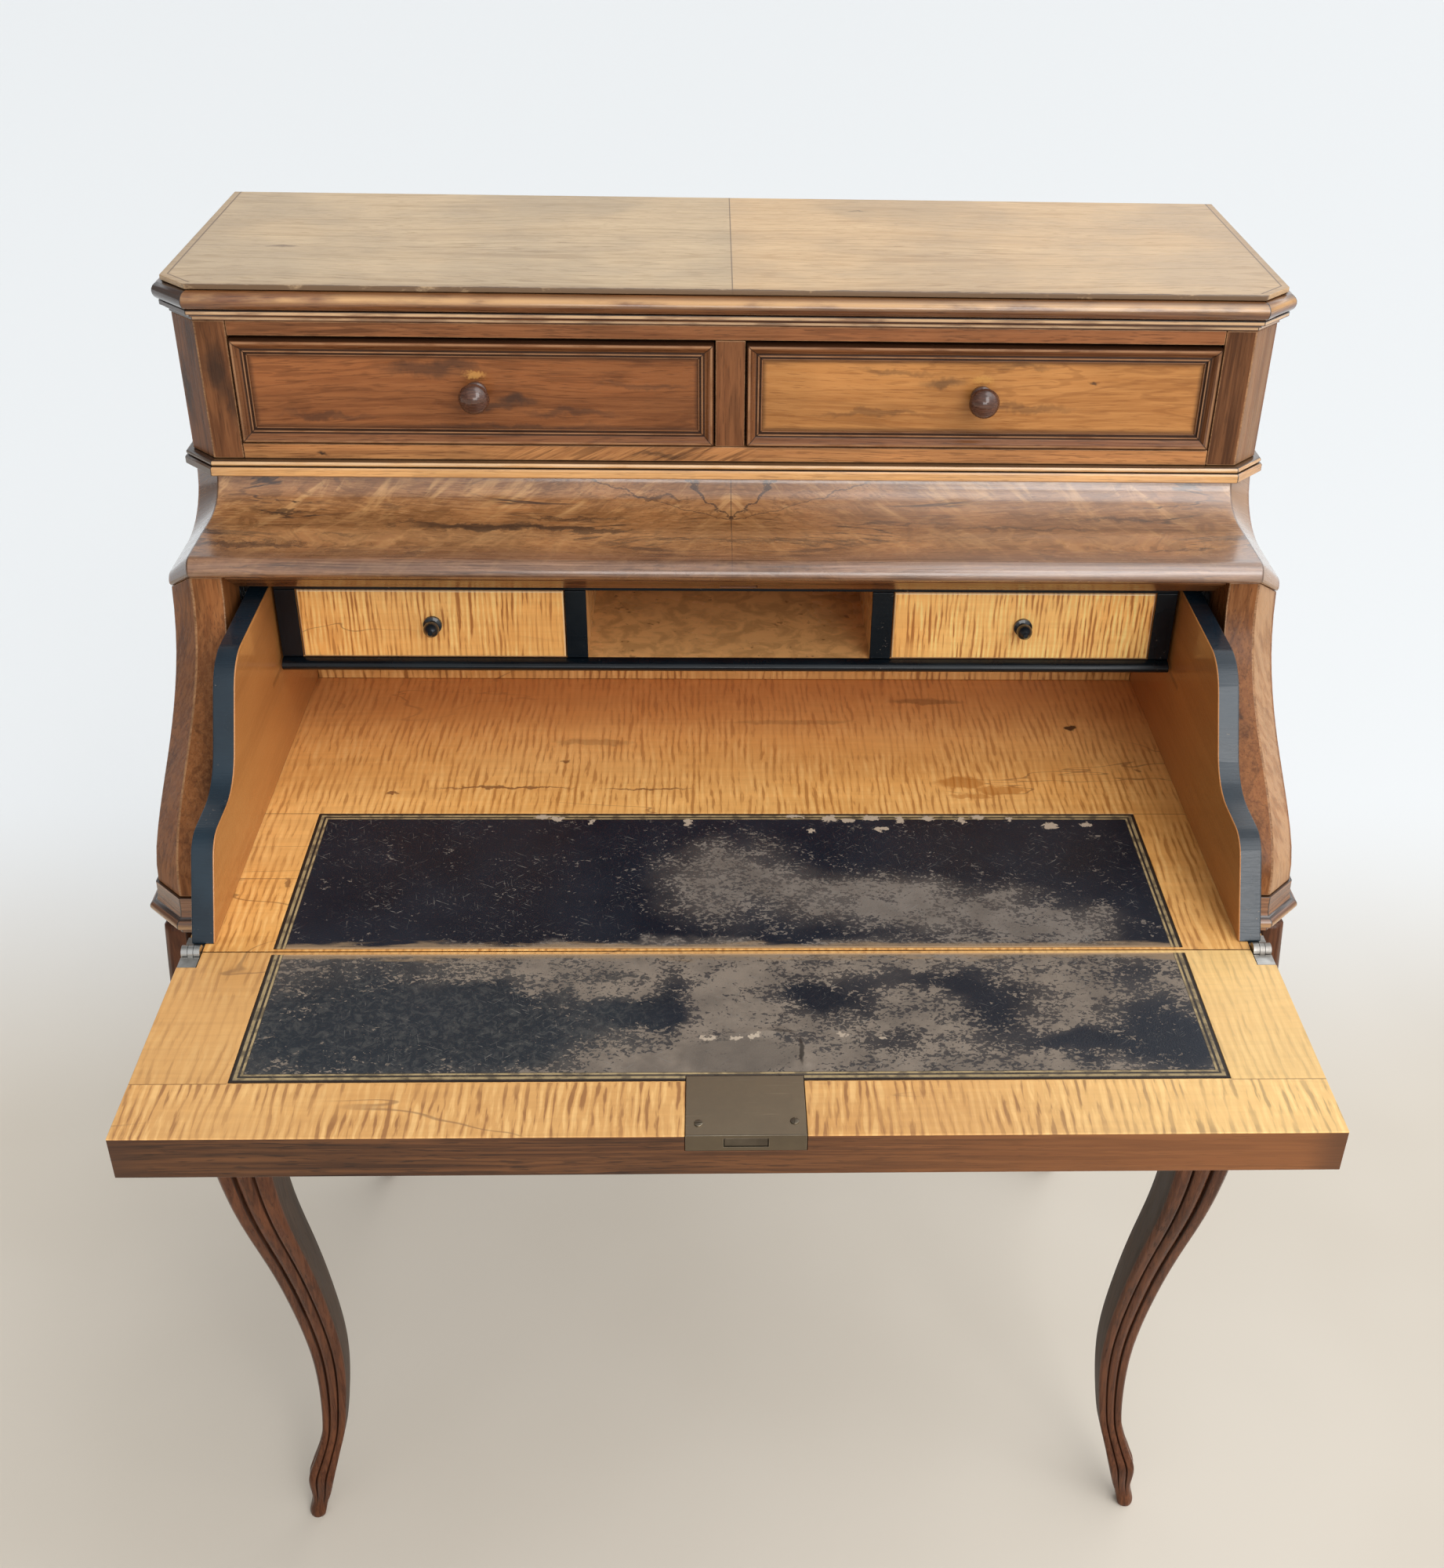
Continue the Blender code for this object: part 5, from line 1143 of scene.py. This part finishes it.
def dress_case():
    """The fixed case, with its mouldings, gallery and legs."""
    stains = on_front(0.12, 0.03, (-0.352, 0.965, 0.011, 0.030, 0.75), (-0.345, 0.942, 0.006, 0.022, 0.65))
    stains += on_front(0.13, 0.03, (-0.378, 0.945, 0.006, 0.035, 0.7))
    stains += on_front(0.12, 0.03, (-0.368, 0.985, 0.006, 0.02, 0.5))
    knots = on_front(-0.02, 0.02, (0.352, 0.775, 0.004, 0.004, 0.9))
    knots += on_front(0.0, 0.02, (0.352, 0.828, 0.003, 0.004, 0.7))
    stile = walnut("Stile walnut", "z", mid=(0.180, 0.064, 0.022), light=(0.28, 0.112, 0.041), streak=0.8,
                   right_cant_light=0.3, marks=stains)
    rail = walnut("Rail walnut", mid=(0.285, 0.100, 0.035), light=(0.40, 0.160, 0.060), width=44.0)
    lower = walnut("Lower stile walnut", "z", mid=(0.230, 0.080, 0.024), light=(0.34, 0.138, 0.046),
                   length=2.4, streak=0.65, shine=0.12, right_cant_light=0.6, marks=knots)
    sides = walnut("Side walnut", "z", width=18.0, length=1.2, sway=0.04)
    leg = walnut("Leg walnut", "z", (0.020, 0.006, 0.002), (0.090, 0.027, 0.010), (0.165, 0.058, 0.022),
                 length=2.5)
    # A darker walnut: painted shade in the legs' grooves.
    groove_shade = walnut("Groove shade walnut", "z", (0.010, 0.004, 0.002), (0.040, 0.014, 0.007),
                    (0.075, 0.028, 0.013), 0.36)
    sawn = walnut("Sawn walnut", "z", (0.022, 0.013, 0.008), (0.066, 0.040, 0.026), (0.105, 0.068, 0.047),
                  0.55, coat=0.0)
    aprons = {axis: walnut(f"Apron walnut {axis}", axis, mid=(0.18, 0.072, 0.030)) for axis in "xy"}
    rubbed = walnut("Rubbed walnut edge", "x", (0.10, 0.042, 0.018), (0.30, 0.145, 0.064),
                    (0.46, 0.25, 0.12), width=60.0, length=12.0)
    cornice = moulding_walnut(
        "Cornice walnut", UPPER_FRONT, (0.034, 0.010, 0.004), (0.155, 0.053, 0.017), (0.29, 0.122, 0.042),
        0.7, 0.95, lit_crest=(1.0165, 0.0040), grooves=((1.0208, 0.0007), (1.0076, 0.0011), (1.0036, 0.0010)),
        fillets=((1.0059, 0.0013), (1.0008, 0.0011)))
    bead = moulding_walnut(
        "Bead walnut", UPPER_FRONT, (0.22, 0.085, 0.025), (0.68, 0.335, 0.112), (0.84, 0.49, 0.20),
        0.2, 0.9, grooves=((0.8962, 0.0008), (0.9003, 0.0009), (0.8886, 0.0008)),
        fillets=((0.8985, 0.0014),))
    base = moulding_walnut(
        "Base walnut", BASE_FRONT, (0.05, 0.016, 0.006), (0.24, 0.090, 0.032), (0.38, 0.165, 0.062), 0.45,
        lit_crest=(0.666, 0.004), grooves=((0.6712, 0.0010), (0.6862, 0.0008)))
    gallery = gallery_wood()

    eased_copy("top_board", "pale_walnut", top_walnut(), 0.0005)
    eased_copy("cornice", "walnut", cornice, 0.0004)
    eased_copy("top_rail", "walnut", rail, worn=rubbed)
    eased_copy("bottom_rail", "golden_walnut", low_rail_walnut(), worn=rubbed)
    eased_copy("centre_stile", "walnut", stile, worn=rubbed)
    eased_copy("waist_bead", "golden_walnut", bead, 0.0003)
    eased_copy("ogee_board", "walnut", ogee_walnut(), 0.0012)
    eased_copy("fall_stop", "walnut", aprons["x"])
    eased_copy("base_moulding", "walnut", base, 0.0003)
    for node in ("drawer_deck", "back_panel", "dust_board", "case_bottom"):
        eased_copy(node, "pale_walnut", CARCASE)
    for node in ("gallery_top", "gallery_bottom"):
        eased_copy(node, "ebonised", gallery)
    for end, axis in (("front", "x"), ("back", "x"), ("left", "y"), ("right", "y")):
        eased_copy(f"apron_{end}", "walnut", aprons[axis], worn=rubbed)
    lining_strip(aprons["x"], rubbed)
    for name, side in (("left", -1), ("right", 1)):
        eased_copy(f"upper_stile_{name}", "walnut", stile, 0.0008, worn=rubbed)
        eased_copy(f"lower_stile_{name}", "walnut", lower, 0.0010, worn=rubbed)
        eased_copy(f"side_panel_{name}", "walnut", sides)
        eased_copy(f"gallery_end_{name}", "ebonised", gallery)
        eased_copy(f"gallery_divider_{name}", "ebonised", gallery)
        finished_leg(f"leg_front_{name}", side, -1, leg, groove_shade, sawn)
        finished_leg(f"leg_back_{name}", side, 1, leg, groove_shade, sawn)


def dress_drawers():
    """The two framed drawers, and the two small ones of the gallery."""
    front_wood = drawer_walnut()
    knob = walnut("Knob walnut", "x", (0.022, 0.008, 0.005), (0.080, 0.030, 0.017), (0.150, 0.064, 0.038),
                  0.24, coat=0.9, coat_rough=0.07, length=8.0, width=90.0, streak=0.5)
    black = knob_ebony()
    box_wood = curly_maple("Small drawer box maple", 0.85, 0.0065, 0.2)
    # The small fronts' tones are raised, the right more: painted light in the shaded recess and from the
    # right.
    for name, tone in (("left", 1.32), ("right", 1.52)):
        eased_copy(f"drawer_{name}_front", "walnut", front_wood, 0.0002)
        eased_copy(f"drawer_{name}_box", "pale_walnut", CARCASE)
        eased_copy(f"drawer_{name}_knob", "walnut", knob, 0)
        front = f"small_drawer_{name}_front"
        striped = curly_maple(f"Small drawer maple {name}", tone, 0.0050, 0.88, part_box(front), 1.35)
        eased_copy(front, "maple", striped, 0.0004)
        eased_copy(f"small_drawer_{name}_box", "maple", box_wood)
        eased_copy(f"small_drawer_{name}_knob", "ebonised", black, 0)


def dress_tray():
    """The sliding tray and the fall, with hinges, lock and leather."""
    tray_side = tray_side_wood()
    leather = writing_leather()
    lock_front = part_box("lock_case")[0][1]
    steel = metal("Hinge steel", (0.55, 0.54, 0.51), (0.22, 0.20, 0.18), 0.26)
    bronze = metal("Lock bronze", (0.36, 0.285, 0.195), (0.29, 0.23, 0.16), 0.36, lock_front)
    bolt = metal("Bolt steel", (0.13, 0.108, 0.082), (0.08, 0.064, 0.048), 0.34)
    screw = metal("Screw bronze", (0.30, 0.255, 0.19), (0.16, 0.13, 0.095), 0.28)
    for name in ("left", "right"):
        eased_copy(f"tray_side_{name}", "ebonised", tray_side, 0.0009)
        eased_copy(f"tray_hinge_{name}", "steel", steel, 0.0002)
        eased_copy(f"fall_hinge_{name}", "steel", steel, 0.0002)
    eased_copy("tray_floor", "maple", tray_maple(), 0.0003)
    eased_copy("tray_back", "maple", curly_maple("Tray back maple", 1.0, 0.0055, 0.8))
    eased_copy("fall_panel", "maple", fall_wood(), 0.0005)
    eased_copy("lock_case", "bronze", bronze, 0.0004, worn=screw)
    eased_copy("lock_bolt", "steel", bolt, 0.0002)
    finished_leather("tray_leather", leather)
    finished_leather("fall_leather", leather, torn=True)
    lock_screw("lock_screw_left", -0.0202, -0.34705, 0.15, screw)
    lock_screw("lock_screw_right", 0.0330, -0.34565, 1.35, screw)


CARCASE = walnut("Carcase wood", "x", (0.16, 0.085, 0.038), (0.34, 0.205, 0.108), (0.43, 0.28, 0.16), 0.55,
                 width=14.0, coat=0.0)
dress_case()
dress_drawers()
dress_tray()
studio()
